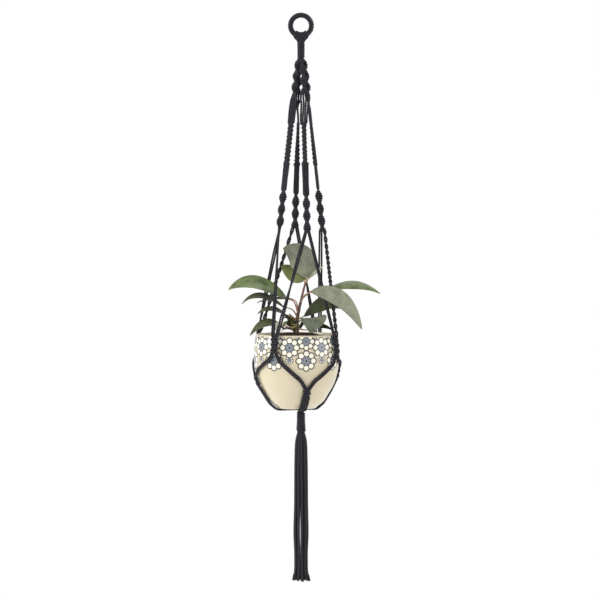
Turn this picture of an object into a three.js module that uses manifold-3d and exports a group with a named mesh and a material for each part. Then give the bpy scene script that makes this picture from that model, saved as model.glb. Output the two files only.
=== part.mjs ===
// A hanging macrame planter: eight cords folded over a covered ring, a gathered neck, four knotted
// sinnets, a two-row knotted cradle round a flowered pot, a tassel, and a leafy plant in the pot.
// Millimetres, +Z up, the front towards -Y, origin on the inner top of the ring, where a hook bears.
import * as THREE from "three";
import Module from "manifold-3d";

const wasm = await Module();
wasm.setup();

// Cord and spacing
const CORD = 3.7;
const GAP = 0.4;

// Ring
const RING_RADIUS = 19.2;
const HOOP_RADIUS = 2.6;
const COVER_RADIUS = 5.05;
const RING_Z = COVER_RADIUS - RING_RADIUS;
const HOOP_BOTTOM_Z = RING_Z - RING_RADIUS;
const LOOP_HALF_ARC = THREE.MathUtils.degToRad(36);
const COVER_HALF_GAP = THREE.MathUtils.degToRad(41);
const LOOP_BORE = 4.0;
const LOOP_RADIUS = 7.4;

// Neck
const NECK_TOP_Z = -43.5;
const NECK_BOTTOM_Z = -76;
const NECK_RADIUS = 6.5;

// Sinnets: the four knotted bands, named by where they hang
const SINNET_TOP_Z = NECK_BOTTOM_Z - GAP;
const SINNET_TOP_RADIUS = 5.7;
const SINNET_SLOPE = 0.114;
const CROWN_BOTTOM_Z = -139;
const CROWN_HALF_TURN = 20.5;
const CROWN_FIRST_BULGE_Z = -86.8;
const KNOT_TOP_Z = -190;
const KNOT_BOTTOM_Z = -267;
const KNOT_COUNT = 9;
const SPIRAL_HALF_TURN = 22;
const RIBBON_HALF_WIDTH = 6.7;
const SETTLING_LENGTH = 28;
const ENDING_LENGTH = 12;
// `swing` is how much further round a sinnet stands in the crown. `lies` is how far its width is turned
// from +X above its knots, at the last knot, and below. `bulge` is the height of a spiral's first bulge.
function sinnetRow(name, azimuth, swing, lies, spiralTop, spiralBottom, bulge) {
  return { name, azimuth, swing, lies, spiralTop, spiralBottom, bulge };
}

const SINNETS = [
  sinnetRow("front", 16, 13, [15, 15, 45], -327, -390, -339.8),
  sinnetRow("right", 106, 0, [90, 50, 95], -316, -390, -326.4),
  sinnetRow("back", 196, 13, [90, 20, 56], -323, -383, -335.6),
  sinnetRow("left", 286, 0, [150, 150, 128], -318, -381, -327.7),
];

// Pot: a bellied bowl whose axis stands a little to the left of the hanger's axis
const POT_X = -8;
const POT_BOTTOM_Z = -714.5;
const POT_HEIGHT = 136.5;
const POT_WALL = 5;
const POT_SEGMENTS = 36;
const POT_OUTLINE = [
  [35, 0],
  [38.6, 3.3],
  [49.6, 12.5],
  [58.8, 27],
  [67, 41],
  [73.4, 58.5],
  [78.2, 84],
  [78.8, 107],
  [76.2, 133],
];

// Cradle: knots of the upper row lie between the sinnets, those of the lower row below the sinnets
const SIDE_KNOTS = [
  { name: "front_left", azimuth: -29, top: -580, bottom: -610 },
  { name: "front_right", azimuth: 61, top: -588, bottom: -618 },
  { name: "back_right", azimuth: 151, top: -586, bottom: -616 },
  { name: "back_left", azimuth: 241, top: -582, bottom: -612 },
];
const LOWER_KNOTS = [
  { name: "front", azimuth: 16, top: -672, bottom: -690 },
  { name: "right", azimuth: 106, top: -642, bottom: -660 },
  { name: "back", azimuth: 196, top: -662, bottom: -680 },
  { name: "left", azimuth: 286, top: -653, bottom: -671 },
];
const KNOT_OFFSET = 5.2;
const CORD_OFFSET = CORD * 0.5 + 1.1;
const KNOT_HALF_WIDTH = 7.2;
const KNOT_HALF_THICKNESS = 3.0;

// Base and tassel
const BASE_Z = POT_BOTTOM_Z - 4.2;
const BASE_WRAP_BOTTOM_Z = -759;
const TASSEL_BOTTOM_Z = -1033;

const materials = {
  cord: new THREE.MeshStandardMaterial({ color: 0x2f2e33, roughness: 0.85, metalness: 0 }),
  metal: new THREE.MeshStandardMaterial({ color: 0x9a9a9a, roughness: 0.4, metalness: 1 }),
  glaze: new THREE.MeshStandardMaterial({ color: 0xe8dec6, roughness: 0.25, metalness: 0 }),
  soil: new THREE.MeshStandardMaterial({ color: 0x3a2a20, roughness: 1, metalness: 0 }),
  stem: new THREE.MeshStandardMaterial({ color: 0x7a4a38, roughness: 0.6, metalness: 0 }),
  leaf: new THREE.MeshStandardMaterial({ color: 0x6f8a55, roughness: 0.45, metalness: 0 }),
};

const planter = new THREE.Group();
planter.name = "hanging_macrame_planter";
const UP = new THREE.Vector3(0, 0, 1);

function add(name, geometry, material) {
  const mesh = new THREE.Mesh(geometry, material);
  mesh.name = name;
  planter.add(mesh);
  return mesh;
}

function vec(x, y, z) {
  return new THREE.Vector3(x, y, z);
}

// A point at a bearing from an upright axis: bearing 0 is the front and 90 is to the right.
function around(bearing, radius, z, axisX = 0) {
  const angle = THREE.MathUtils.degToRad(bearing);
  return vec(axisX + radius * Math.sin(angle), -radius * Math.cos(angle), z);
}

function smooth(t) {
  const s = THREE.MathUtils.clamp(t, 0, 1);
  return s * s * (3 - 2 * s);
}

// Manifold solids, used only where pieces are joined or cut
function toSolid(geometry) {
  const flat = geometry.index ? geometry.toNonIndexed() : geometry;
  const place = flat.attributes.position;
  const seen = new Map();
  const vertices = [];
  const triangles = [];
  for (let i = 0; i < place.count; i++) {
    const point = [place.getX(i), place.getY(i), place.getZ(i)];
    const key = point.map((value) => Math.round(value * 1e4)).join(",");
    if (!seen.has(key)) {
      seen.set(key, vertices.length / 3);
      vertices.push(...point);
    }
    triangles.push(seen.get(key));
  }
  const whole = [];
  for (let i = 0; i < triangles.length; i += 3) {
    const [a, b, c] = triangles.slice(i, i + 3);
    if (a !== b && b !== c && c !== a) whole.push(a, b, c);
  }
  const mesh = new wasm.Mesh({
    numProp: 3,
    vertProperties: new Float32Array(vertices),
    triVerts: new Uint32Array(whole),
  });
  return new wasm.Manifold(mesh);
}

function fromSolid(solid) {
  const mesh = solid.getMesh();
  const geometry = new THREE.BufferGeometry();
  geometry.setAttribute("position", new THREE.BufferAttribute(mesh.vertProperties, 3));
  geometry.setIndex(new THREE.BufferAttribute(mesh.triVerts, 1));
  return geometry;
}

// A band swept along a curve. `across` gives the direction of its width, `width` and `thickness` its
// half sizes, each as a function of how far along the curve it is, from 0 to 1.
const RIBBON_SECTION = [
  [1, -0.4],
  [1, 0.4],
  [0.55, 1],
  [-0.55, 1],
  [-1, 0.4],
  [-1, -0.4],
  [-0.55, -1],
  [0.55, -1],
];

function sweep(curve, steps, across, width, thickness, section = RIBBON_SECTION) {
  const outline = new THREE.Shape(section.map(([x, y]) => new THREE.Vector2(x, y)));
  const geometry = new THREE.ExtrudeGeometry(outline, { depth: 1, steps, bevelEnabled: false });
  const place = geometry.attributes.position;
  for (let i = 0; i < place.count; i++) {
    const t = THREE.MathUtils.clamp(place.getZ(i), 0, 1);
    const tangent = curve.getTangent(t);
    const side = across(t).clone().projectOnPlane(tangent).normalize();
    const normal = new THREE.Vector3().crossVectors(tangent, side);
    const point = curve.getPoint(t);
    point.addScaledVector(side, place.getX(i) * width(t));
    point.addScaledVector(normal, place.getY(i) * thickness(t));
    place.setXYZ(i, point.x, point.y, point.z);
  }
  geometry.computeVertexNormals();
  return geometry;
}

function always(value) {
  return () => value;
}

const ROUND_SECTION = Array.from({ length: 8 }, (_, i) => {
  const angle = (i * Math.PI) / 4;
  return [Math.cos(angle), Math.sin(angle)];
});

function tube(points, radii, steps, across = UP) {
  const curve = new THREE.CatmullRomCurve3(points);
  const radius = (t) => THREE.MathUtils.lerp(radii[0], radii[1], t);
  return sweep(curve, steps, always(across), radius, radius, ROUND_SECTION);
}

// ---- Ring ----------------------------------------------------------------------------------------

class RingArc extends THREE.Curve {
  constructor(from, to) {
    super();
    this.from = from;
    this.to = to;
  }
  // Angles run from the bottom of the ring, up its right side.
  getPoint(t, target = new THREE.Vector3()) {
    const angle = THREE.MathUtils.lerp(this.from, this.to, t);
    return target.set(RING_RADIUS * Math.sin(angle), 0, RING_Z - RING_RADIUS * Math.cos(angle));
  }
}

function arcTube(halfGap, radius, segments) {
  const curve = new RingArc(halfGap, 2 * Math.PI - halfGap);
  return sweep(curve, segments, always(vec(0, 1, 0)), always(radius), always(radius), ROUND_SECTION);
}

function loopTube(halfArc, radius, segments) {
  const curve = new RingArc(-halfArc, halfArc);
  return sweep(curve, segments, always(vec(0, 1, 0)), always(radius), always(radius), ROUND_SECTION);
}

function makeRing() {
  const hoop = new THREE.TorusGeometry(RING_RADIUS, HOOP_RADIUS, 8, 30);
  hoop.rotateX(Math.PI / 2);
  hoop.translate(0, 0, RING_Z);
  add("ring_hoop", hoop, materials.metal);

  const outer = toSolid(arcTube(COVER_HALF_GAP, COVER_RADIUS, 22));
  const inner = toSolid(arcTube(COVER_HALF_GAP - 0.1, HOOP_RADIUS + GAP, 24));
  add("ring_cover", fromSolid(outer.subtract(inner)), materials.cord);
}

// ---- Neck ----------------------------------------------------------------------------------------

function makeNeck() {
  const shell = toSolid(loopTube(LOOP_HALF_ARC, LOOP_RADIUS, 8));
  const bore = toSolid(loopTube(LOOP_HALF_ARC + 0.2, LOOP_BORE, 10));
  const fan = new THREE.CatmullRomCurve3([vec(0, 0, -36.5), vec(0, 0, NECK_TOP_Z)]);
  const fanWidth = (t) => THREE.MathUtils.lerp(10, NECK_RADIUS, smooth(t * 1.4));
  const funnel = sweep(fan, 4, always(vec(1, 0, 0)), fanWidth, always(NECK_RADIUS), ROUND_SECTION);
  add("neck_loops", fromSolid(shell.add(toSolid(funnel)).subtract(bore)), materials.cord);

  const wrap = new THREE.LatheGeometry(
    [
      [0, NECK_BOTTOM_Z],
      [NECK_RADIUS - 0.6, NECK_BOTTOM_Z],
      [NECK_RADIUS - 0.2, NECK_BOTTOM_Z + 4],
      [NECK_RADIUS + 0.2, NECK_TOP_Z - 4],
      [NECK_RADIUS - 0.3, NECK_TOP_Z - GAP],
      [0, NECK_TOP_Z - GAP],
    ].map(([r, z]) => new THREE.Vector2(r, z)),
    16,
  );
  wrap.rotateX(Math.PI / 2);
  add("neck_wrap", wrap, materials.cord);
}

// ---- Sinnets -------------------------------------------------------------------------------------

function sinnetRadius(z) {
  return SINNET_TOP_RADIUS + SINNET_SLOPE * (NECK_BOTTOM_Z - z);
}

// Two of the sinnets stand further round in the crown, and come back to their own bearing below it
function sinnetBearing(sinnet, z) {
  const back = smooth((CROWN_BOTTOM_Z - 8 - z) / 42);
  return sinnet.azimuth + THREE.MathUtils.lerp(sinnet.swing, 0, back);
}

function crownTurn(sinnet, z) {
  return sinnet.azimuth - 90 + (180 * (CROWN_FIRST_BULGE_Z - z)) / CROWN_HALF_TURN;
}

function spiralTurn(sinnet, z) {
  return (180 * (sinnet.bulge - z)) / SPIRAL_HALF_TURN;
}

// The nearest angle to `near` that lies the same way, as a band looks alike after half a turn
function sameLie(angle, near) {
  return angle + 180 * Math.round((near - angle) / 180);
}

// How far the band's width is turned from +X at a height, in degrees
function sinnetTurn(sinnet, z) {
  if (z >= CROWN_BOTTOM_Z) return crownTurn(sinnet, z);
  if (z < sinnet.spiralTop) return spiralTurn(sinnet, z);
  const { lerp } = THREE.MathUtils;
  const start = crownTurn(sinnet, CROWN_BOTTOM_Z);
  const above = sameLie(sinnet.lies[0], start);
  const knotted = sameLie(sinnet.lies[1], above);
  const below = sameLie(sinnet.lies[2], knotted);
  const finish = sameLie(spiralTurn(sinnet, sinnet.spiralTop), below);
  let turn = lerp(start, above, smooth((CROWN_BOTTOM_Z - z) / SETTLING_LENGTH));
  turn = lerp(turn, knotted, smooth((KNOT_TOP_Z - z) / (KNOT_TOP_Z - KNOT_BOTTOM_Z)));
  turn = lerp(turn, below, smooth((KNOT_BOTTOM_Z - z) / SETTLING_LENGTH));
  return lerp(turn, finish, smooth((sinnet.spiralTop + ENDING_LENGTH - z) / ENDING_LENGTH));
}

function sinnetBand(sinnet, top, bottom, steps, width, thickness) {
  const heightAt = (t) => THREE.MathUtils.lerp(top, bottom, t);
  const centres = Array.from({ length: 13 }, (_, i) => {
    const z = heightAt(i / 12);
    return around(sinnetBearing(sinnet, z), sinnetRadius(z), z);
  });
  const curve = new THREE.CatmullRomCurve3(centres);
  const across = (t) => {
    const angle = THREE.MathUtils.degToRad(sinnetTurn(sinnet, heightAt(t)));
    return vec(Math.cos(angle), Math.sin(angle), 0);
  };
  const widthAt = (t) => width(heightAt(t));
  const thicknessAt = (t) => thickness(heightAt(t));
  return sweep(curve, steps, across, widthAt, thicknessAt);
}

function makeSinnet(sinnet) {
  const bandThickness = CORD * 0.5;
  const crownWidth = (z) => Math.min(RIBBON_HALF_WIDTH, sinnetRadius(z) - bandThickness - GAP);
  add(
    `crown_spiral_${sinnet.name}`,
    sinnetBand(sinnet, SINNET_TOP_Z, CROWN_BOTTOM_Z, 15, crownWidth, always(bandThickness)),
    materials.cord,
  );

  const knotPitch = (KNOT_TOP_Z - KNOT_BOTTOM_Z) / KNOT_COUNT;
  const isKnotted = (z) => z < KNOT_TOP_Z && z > KNOT_BOTTOM_Z;
  const scallop = (z) => Math.abs(Math.sin((Math.PI * (KNOT_TOP_Z - z)) / knotPitch));
  const strapWidth = (z) => (isKnotted(z) ? 4.5 + 0.9 * scallop(z) : RIBBON_HALF_WIDTH - 0.4);
  const strapThickness = (z) => (isKnotted(z) ? 2.5 + 0.6 * scallop(z) : bandThickness);
  add(
    `strap_${sinnet.name}`,
    sinnetBand(sinnet, CROWN_BOTTOM_Z - GAP, sinnet.spiralTop, 28, strapWidth, strapThickness),
    materials.cord,
  );

  add(
    `spiral_${sinnet.name}`,
    sinnetBand(
      sinnet,
      sinnet.spiralTop - GAP,
      sinnet.spiralBottom,
      13,
      always(RIBBON_HALF_WIDTH),
      always(2.3),
    ),
    materials.cord,
  );
}

// ---- Cradle --------------------------------------------------------------------------------------

function potRadius(z) {
  const height = THREE.MathUtils.clamp(z - POT_BOTTOM_Z, 0, POT_HEIGHT);
  const upper = POT_OUTLINE.findIndex(([, h]) => h >= height);
  if (upper < 0) return POT_OUTLINE.at(-1)[0];
  if (upper === 0) return POT_OUTLINE[0][0];
  const [r0, h0] = POT_OUTLINE[upper - 1];
  const [r1, h1] = POT_OUTLINE[upper];
  return THREE.MathUtils.lerp(r0, r1, (height - h0) / (h1 - h0));
}

// A point that stands off the pot's surface, square to it, beside the surface point at a height
function onPot(bearing, z, offset) {
  const slope = (potRadius(z + 2) - potRadius(z - 2)) / 4;
  const out = 1 / Math.hypot(1, slope);
  return around(bearing, potRadius(z) + offset * out, z - offset * slope * out, POT_X);
}

function bearingOut(bearing) {
  return around(bearing, 1, 0);
}

function bearingAcross(bearing) {
  return around(bearing + 90, 1, 0);
}

function makeLeg(sinnet, knot, side) {
  const startZ = sinnet.spiralBottom - 2.4;
  const start = around(sinnet.azimuth, sinnetRadius(startZ), startZ);
  const turn = THREE.MathUtils.degToRad(sinnetTurn(sinnet, sinnet.spiralBottom));
  const toKnot = knotTop(knot, side).sub(start);
  const along = vec(Math.cos(turn), Math.sin(turn), 0);
  along.multiplyScalar(Math.sign(along.dot(toKnot)) || 1);
  start.addScaledVector(along, CORD + GAP);
  const curve = new THREE.LineCurve3(start, knotTop(knot, side));
  const across = (t) => along.clone().lerp(bearingAcross(knot.azimuth), t);
  add(
    `leg_${sinnet.name}_${knot.name}`,
    sweep(curve, 5, across, always(CORD), always(CORD * 0.5)),
    materials.cord,
  );
}

// Where a pair of cords meets a side knot: `side` is -1 or 1 along the way the knot faces across
function knotTop(knot, side) {
  const point = onPot(knot.azimuth, knot.top + 2, KNOT_OFFSET);
  point.addScaledVector(bearingAcross(knot.azimuth), side * (CORD + GAP));
  return point;
}

function makeSideKnot(knot) {
  const curve = new THREE.CatmullRomCurve3([
    onPot(knot.azimuth, knot.top, KNOT_OFFSET),
    onPot(knot.azimuth, (knot.top + knot.bottom) / 2, KNOT_OFFSET),
    onPot(knot.azimuth, knot.bottom, KNOT_OFFSET),
  ]);
  const swell = (t) => 0.86 + 0.14 * Math.abs(Math.sin(3 * Math.PI * t));
  const width = (t) => KNOT_HALF_WIDTH * swell(t);
  add(
    `side_knot_${knot.name}`,
    sweep(curve, 6, always(bearingAcross(knot.azimuth)), width, always(KNOT_HALF_THICKNESS)),
    materials.cord,
  );
}

// A pair of cords from an upper knot to a lower one, lying against the pot all the way
function makeCradleCord(upper, lower, side) {
  const from = upper.azimuth;
  const to = from + side * 45;
  const inset = (180 / Math.PI) * (CORD + GAP) * side;
  const startTurn = inset / 82;
  const endTurn = -inset / 68;
  const points = [0, 0.25, 0.5, 0.75, 1].map((t) => {
    const bearing = THREE.MathUtils.lerp(from + startTurn, to + endTurn, t);
    const z = THREE.MathUtils.lerp(upper.bottom - 4.2, lower.top + 5.5, Math.pow(t, 0.93));
    return onPot(bearing, z, THREE.MathUtils.lerp(KNOT_OFFSET - 0.6, CORD_OFFSET, smooth(t * 2)));
  });
  const curve = new THREE.CatmullRomCurve3(points);
  const across = (t) => {
    const out = bearingOut(THREE.MathUtils.lerp(from + startTurn, to + endTurn, t));
    return new THREE.Vector3().crossVectors(curve.getTangent(t), out);
  };
  add(
    `cradle_cord_${upper.name}_${lower.name}`,
    sweep(curve, 8, across, always(CORD), always(CORD * 0.5)),
    materials.cord,
  );
}

// A lower knot and the four cords below it, down round the pot's foot and in under its base
function makeBaseBand(knot) {
  const underZ = POT_BOTTOM_Z - CORD * 0.5 - 1;
  const footRadius = potRadius(POT_BOTTOM_Z) + CORD * 0.5;
  const path = [
    onPot(knot.azimuth, knot.top, KNOT_OFFSET - 0.8),
    onPot(knot.azimuth, (knot.top + knot.bottom) / 2, KNOT_OFFSET - 0.8),
    onPot(knot.azimuth, knot.bottom, KNOT_OFFSET - 1.2),
    onPot(knot.azimuth, (knot.bottom + POT_BOTTOM_Z + 10) / 2, CORD_OFFSET),
    onPot(knot.azimuth, POT_BOTTOM_Z + 12, CORD_OFFSET + 0.2),
    onPot(knot.azimuth, POT_BOTTOM_Z + 6, CORD_OFFSET + 0.4),
    around(knot.azimuth, footRadius + 2.2, POT_BOTTOM_Z - 0.6, POT_X),
    around(knot.azimuth, footRadius - 3, underZ, POT_X),
  ];
  const gather = around(knot.azimuth, 9, underZ);
  path.push(path.at(-1).clone().lerp(gather, 0.5));
  path.push(gather);
  const curve = new THREE.CatmullRomCurve3(path);
  const knotShare = 0.25;
  const width = (t) => THREE.MathUtils.lerp(KNOT_HALF_WIDTH, 4.2, smooth((t - 0.6) / 0.4));
  const slim = (t) => smooth((t - knotShare * 0.7) / (knotShare * 0.6));
  const thickness = (t) => THREE.MathUtils.lerp(KNOT_HALF_THICKNESS, CORD * 0.5, slim(t));
  add(
    `base_band_${knot.name}`,
    sweep(curve, 16, always(bearingAcross(knot.azimuth)), width, thickness),
    materials.cord,
  );
}

function makeCradle() {
  SIDE_KNOTS.forEach(makeSideKnot);
  SINNETS.forEach((sinnet, i) => {
    makeLeg(sinnet, SIDE_KNOTS[i], 1);
    makeLeg(sinnet, SIDE_KNOTS[(i + 1) % 4], -1);
  });
  SIDE_KNOTS.forEach((knot, i) => {
    makeCradleCord(knot, LOWER_KNOTS[i], 1);
    makeCradleCord(knot, LOWER_KNOTS[(i + 3) % 4], -1);
  });
  LOWER_KNOTS.forEach(makeBaseBand);
}

// ---- Base wrap and tassel ------------------------------------------------------------------------

function lathe(points, segments) {
  const geometry = new THREE.LatheGeometry(points.map(([r, z]) => new THREE.Vector2(r, z)), segments);
  geometry.rotateX(Math.PI / 2);
  return geometry;
}

function makeBase() {
  const wrap = lathe(
    [
      [0, BASE_WRAP_BOTTOM_Z],
      [8.8, BASE_WRAP_BOTTOM_Z],
      [8.1, BASE_WRAP_BOTTOM_Z + 10],
      [7.4, BASE_WRAP_BOTTOM_Z + 22],
      [7.4, BASE_Z - 3],
      [5.2, BASE_Z],
      [3, BASE_Z + 1.6],
      [0, BASE_Z + 1.9],
    ],
    16,
  );
  add("base_wrap", wrap, materials.cord);
}

// The tassel's sixteen strands as one fluted bundle
function makeTassel() {
  const top = BASE_WRAP_BOTTOM_Z - 1.2;
  const bundle = lathe(
    [
      [0, TASSEL_BOTTOM_Z],
      [15.4, TASSEL_BOTTOM_Z],
      [13.4, TASSEL_BOTTOM_Z + 24],
      [12.2, TASSEL_BOTTOM_Z + 48],
      [13.4, TASSEL_BOTTOM_Z + 90],
      [12.8, TASSEL_BOTTOM_Z + 140],
      [12.4, TASSEL_BOTTOM_Z + 210],
      [11.2, top - 24],
      [9.6, top - 10],
      [8.6, top - 4],
      [2.4, top],
      [0, top],
    ],
    32,
  );
  const place = bundle.attributes.position;
  for (let i = 0; i < place.count; i++) {
    const angle = Math.atan2(place.getY(i), place.getX(i));
    const flute = 1 + 0.04 * Math.cos(16 * angle);
    place.setXY(i, place.getX(i) * flute, place.getY(i) * flute);
  }
  bundle.computeVertexNormals();
  add("tassel", bundle, materials.cord);
}

// ---- Pot and soil --------------------------------------------------------------------------------

function makePot() {
  const inside = POT_OUTLINE.slice(2)
    .reverse()
    .map(([r, h]) => [r - POT_WALL, h]);
  const outline = [
    [0, 0],
    ...POT_OUTLINE,
    [75, POT_HEIGHT - 0.6],
    [73.6, POT_HEIGHT],
    [72.2, POT_HEIGHT - 0.6],
    ...inside,
    [34, POT_WALL + 1],
    [0, POT_WALL + 1],
  ];
  const pot = lathe(outline.map(([r, h]) => [r, POT_BOTTOM_Z + h]), POT_SEGMENTS);
  pot.translate(POT_X, 0, 0);
  add("pot", pot, materials.glaze);
}

function makeSoil() {
  const clear = POT_WALL + 0.8;
  const wall = POT_OUTLINE.slice(3, 8).map(([r, h]) => [r - clear, h + 1]);
  const outline = [
    [0, POT_WALL + 2],
    [33, POT_WALL + 2],
    [42.5, 13],
    ...wall,
    [71, POT_HEIGHT - 11],
    [60, POT_HEIGHT - 6],
    [34, POT_HEIGHT + 0.5],
    [0, POT_HEIGHT + 2.5],
  ];
  const soil = lathe(outline.map(([r, h]) => [r, POT_BOTTOM_Z + h]), POT_SEGMENTS);
  soil.translate(POT_X, 0, 0);
  add("soil", soil, materials.soil);
}

// ---- Plant ---------------------------------------------------------------------------------------

// A leaf runs from its base through an arch to its tip; `across` is the way its width lies.
function leaf(name, base, arch, tip, width, across) {
  return { name, base, arch, tip, width, across };
}

const LEAVES = [
  leaf("top", [10, 2, -477], [13, 16, -430], [-33, 8, -421], 51, [0.9, 0.1, 0.35]),
  leaf("top_lower", [6, 8, -481], [-12, 26, -468], [-37, 22, -453], 30, [0.5, 0.2, 0.8]),
  leaf("young", [17, -7, -474], [28, -5, -464], [41, 2, -453], 6, [-0.55, 0.2, 0.75]),
  leaf("left_big", [-26, -12, -515], [-87, -12, -464], [-133, -14, -497], 47, [0, -0.85, -0.5]),
  leaf("left_second", [-30, -18, -530], [-80, -16, -490], [-108, -18, -523], 24, [0, -0.9, -0.4]),
  leaf("left_third", [-28, -2, -544], [-58, 2, -522], [-80, 4, -542], 20, [0, -0.9, -0.4]),
  leaf("left_low", [-29, -18, -570], [-62, -26, -540], [-93, -34, -580], 30, [0.2, -0.85, -0.4]),
  leaf("left_drop", [-38, -38, -556], [-42, -50, -552], [-43, -59, -575], 14, [1, -0.2, 0.1]),
  leaf("right_arch", [45, 14, -499], [104, 16, -472], [146, 14, -505], 35, [0, -0.9, -0.4]),
  leaf("right_broad", [18, -52, -500], [80, -60, -490], [110, -70, -567], 32, [0.35, -0.3, 0.88]),
  leaf("right_dark", [5, -12, -546], [45, 7, -502], [79, 10, -533], 35, [0, -0.6, 0.8]),
  leaf("front_mid", [22, -40, -548], [26, -62, -540], [17, -74, -573], 48, [1, 0, 0.15]),
  leaf("right_low", [12, -12, -571], [36, -18, -552], [58, -20, -571], 18, [0, -0.8, 0.5]),
  leaf("small_front", [-16, -17, -561], [-31, -23, -530], [-39, -26, -552], 14, [0.3, -0.8, 0.2]),
  leaf("small_back", [-15, 2, -567], [-25, 3, -544], [-34, 0, -569], 15, [0.6, -0.6, 0.2]),
];
const LEAF_THICKNESS = 1.2;

function makeLeaf({ name, base, arch, tip, width, across: widthWay }) {
  const curve = new THREE.QuadraticBezierCurve3(vec(...base), vec(...arch), vec(...tip));
  const across = vec(...widthWay).normalize();
  const blade = new THREE.BoxGeometry(1, 1, 1, 8, 2, 1);
  const place = blade.attributes.position;
  for (let i = 0; i < place.count; i++) {
    const t = place.getX(i) + 0.5;
    const tangent = curve.getTangent(t);
    const side = across.clone().projectOnPlane(tangent).normalize();
    const normal = new THREE.Vector3().crossVectors(tangent, side);
    const fullness = Math.pow(Math.sin(Math.PI * Math.pow(t, 0.85)), 0.75);
    const half = 0.5 + (width * 0.5 - 0.5) * fullness;
    const reach = place.getY(i) * 2;
    const point = curve.getPoint(t);
    point.addScaledVector(side, reach * half);
    point.addScaledVector(normal, place.getZ(i) * LEAF_THICKNESS + 0.12 * half * reach * reach);
    place.setXYZ(i, point.x, point.y, point.z);
  }
  blade.computeVertexNormals();
  add(`leaf_${name}`, blade, materials.leaf);
}

// Stalks: where each leaves the main stem, a point it bends through, and how near the leaf it ends
const STALKS = [
  { name: "left_big", from: [-5.4, -2.8, -541], bend: [-13, -8, -519] },
  { name: "left_second", from: [-6, -3, -548], bend: [-16, -12, -533] },
  { name: "left_third", from: [-6.5, -3, -556], bend: [-15, -3, -547] },
  { name: "left_low", from: [-7.2, -3.5, -564], bend: [-17, -9, -565] },
  { name: "left_drop", from: [-7, -3.5, -563], bend: [-19, -30, -566] },
  { name: "right_arch", from: [0.8, 0.4, -514], bend: [22, 9, -499] },
  { name: "right_broad", from: [-0.5, 0, -520], bend: [7, -28, -506] },
  { name: "right_dark", from: [-6.4, -3.2, -552], bend: [-1, -8, -549] },
  { name: "front_mid", from: [-6.7, -3.3, -556], bend: [9, -24, -550] },
  { name: "right_low", from: [-7.3, -3.6, -567], bend: [3, -9, -570] },
  { name: "small_front", from: [-7, -3.4, -559], bend: [-11, -11, -561] },
  { name: "small_back", from: [-7, -3.4, -566], bend: [-11, -1, -568] },
];
const STALK_GAP = 1.6;
const TRUNK = [
  [-8, -4, -574.6],
  [-6, -3, -545],
  [-1.5, 0, -524],
  [4, 1, -500],
  [9, 2, -482],
];

function makeStem() {
  const line = TRUNK.map((point) => vec(...point));
  let plant = toSolid(tube(line, [4, 2], 9, vec(1, 0, 0)));
  STALKS.forEach(({ name, from, bend }) => {
    const target = LEAVES.find((other) => other.name === name);
    const base = vec(...target.base);
    const retreat = vec(...target.arch).sub(base).normalize().multiplyScalar(STALK_GAP);
    const end = base.clone().sub(retreat);
    plant = plant.add(toSolid(tube([vec(...from), vec(...bend), end], [1.9, 1.1], 4)));
  });
  add("plant_stem", fromSolid(plant), materials.stem);
}

makeRing();
makeNeck();
SINNETS.forEach(makeSinnet);
makeCradle();
makeBase();
makeTassel();
makePot();
makeSoil();
LEAVES.forEach(makeLeaf);
makeStem();

export default planter;
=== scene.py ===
"""The looks of the hanging macrame planter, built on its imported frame.

Shapes are worked out in millimetres and turned into metres when a mesh is made. -Y is the front.
"""

import math
import random

import bpy
import numpy as np
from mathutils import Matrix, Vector


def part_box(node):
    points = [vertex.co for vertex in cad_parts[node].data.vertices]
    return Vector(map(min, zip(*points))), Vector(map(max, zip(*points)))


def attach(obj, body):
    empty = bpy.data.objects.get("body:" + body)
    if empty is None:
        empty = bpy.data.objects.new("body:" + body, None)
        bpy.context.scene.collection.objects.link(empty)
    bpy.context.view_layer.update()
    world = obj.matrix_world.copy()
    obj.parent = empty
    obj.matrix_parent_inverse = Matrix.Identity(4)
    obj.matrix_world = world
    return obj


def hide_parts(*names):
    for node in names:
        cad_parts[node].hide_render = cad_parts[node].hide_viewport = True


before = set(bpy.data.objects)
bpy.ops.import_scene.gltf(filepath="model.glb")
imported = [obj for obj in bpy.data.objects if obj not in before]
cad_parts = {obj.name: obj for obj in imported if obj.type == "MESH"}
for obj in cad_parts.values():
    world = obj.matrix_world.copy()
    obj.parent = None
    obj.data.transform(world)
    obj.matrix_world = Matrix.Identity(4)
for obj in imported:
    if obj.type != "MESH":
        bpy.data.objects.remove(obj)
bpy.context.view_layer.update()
rng = random.Random(41)

MM = 0.001
CORD_RADIUS = 1.98
CORD_STEP = 1.5


def low_mm(node):
    return [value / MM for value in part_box(node)[0]]


def high_mm(node):
    return [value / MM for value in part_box(node)[1]]


# ---- Driving sizes ----
# Most are the solid model's. The cord is thicker here, the right sinnet lies another way, and the turns
# at the foot of the knots and above the lower spiral are sharper, as the pinches are short.

RING_RADIUS = 19.2
HOOP_RADIUS = 2.6
RING_Z = (low_mm("ring_hoop")[2] + high_mm("ring_hoop")[2]) / 2
COVER_RADIUS = high_mm("ring_cover")[1]
NECK_TOP_Z = high_mm("neck_wrap")[2]
NECK_BOTTOM_Z = low_mm("neck_wrap")[2]
CROWN_BOTTOM_Z = -139
CROWN_HALF_TURN = 20.5
CROWN_FIRST_BULGE_Z = -86.8
SINNET_TOP_RADIUS = 5.7
SINNET_SLOPE = 0.114
KNOT_TOP_Z = -190
KNOT_BOTTOM_Z = -267
SPIRAL_HALF_TURN = 22

SWING_TOP_Z = -84
SWING_IN_LENGTH = 24
SWING_BOTTOM_Z = CROWN_BOTTOM_Z - 8
SWING_OUT_LENGTH = 42
SETTLING_LENGTH = 28
PINCH_LENGTH = 6


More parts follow.
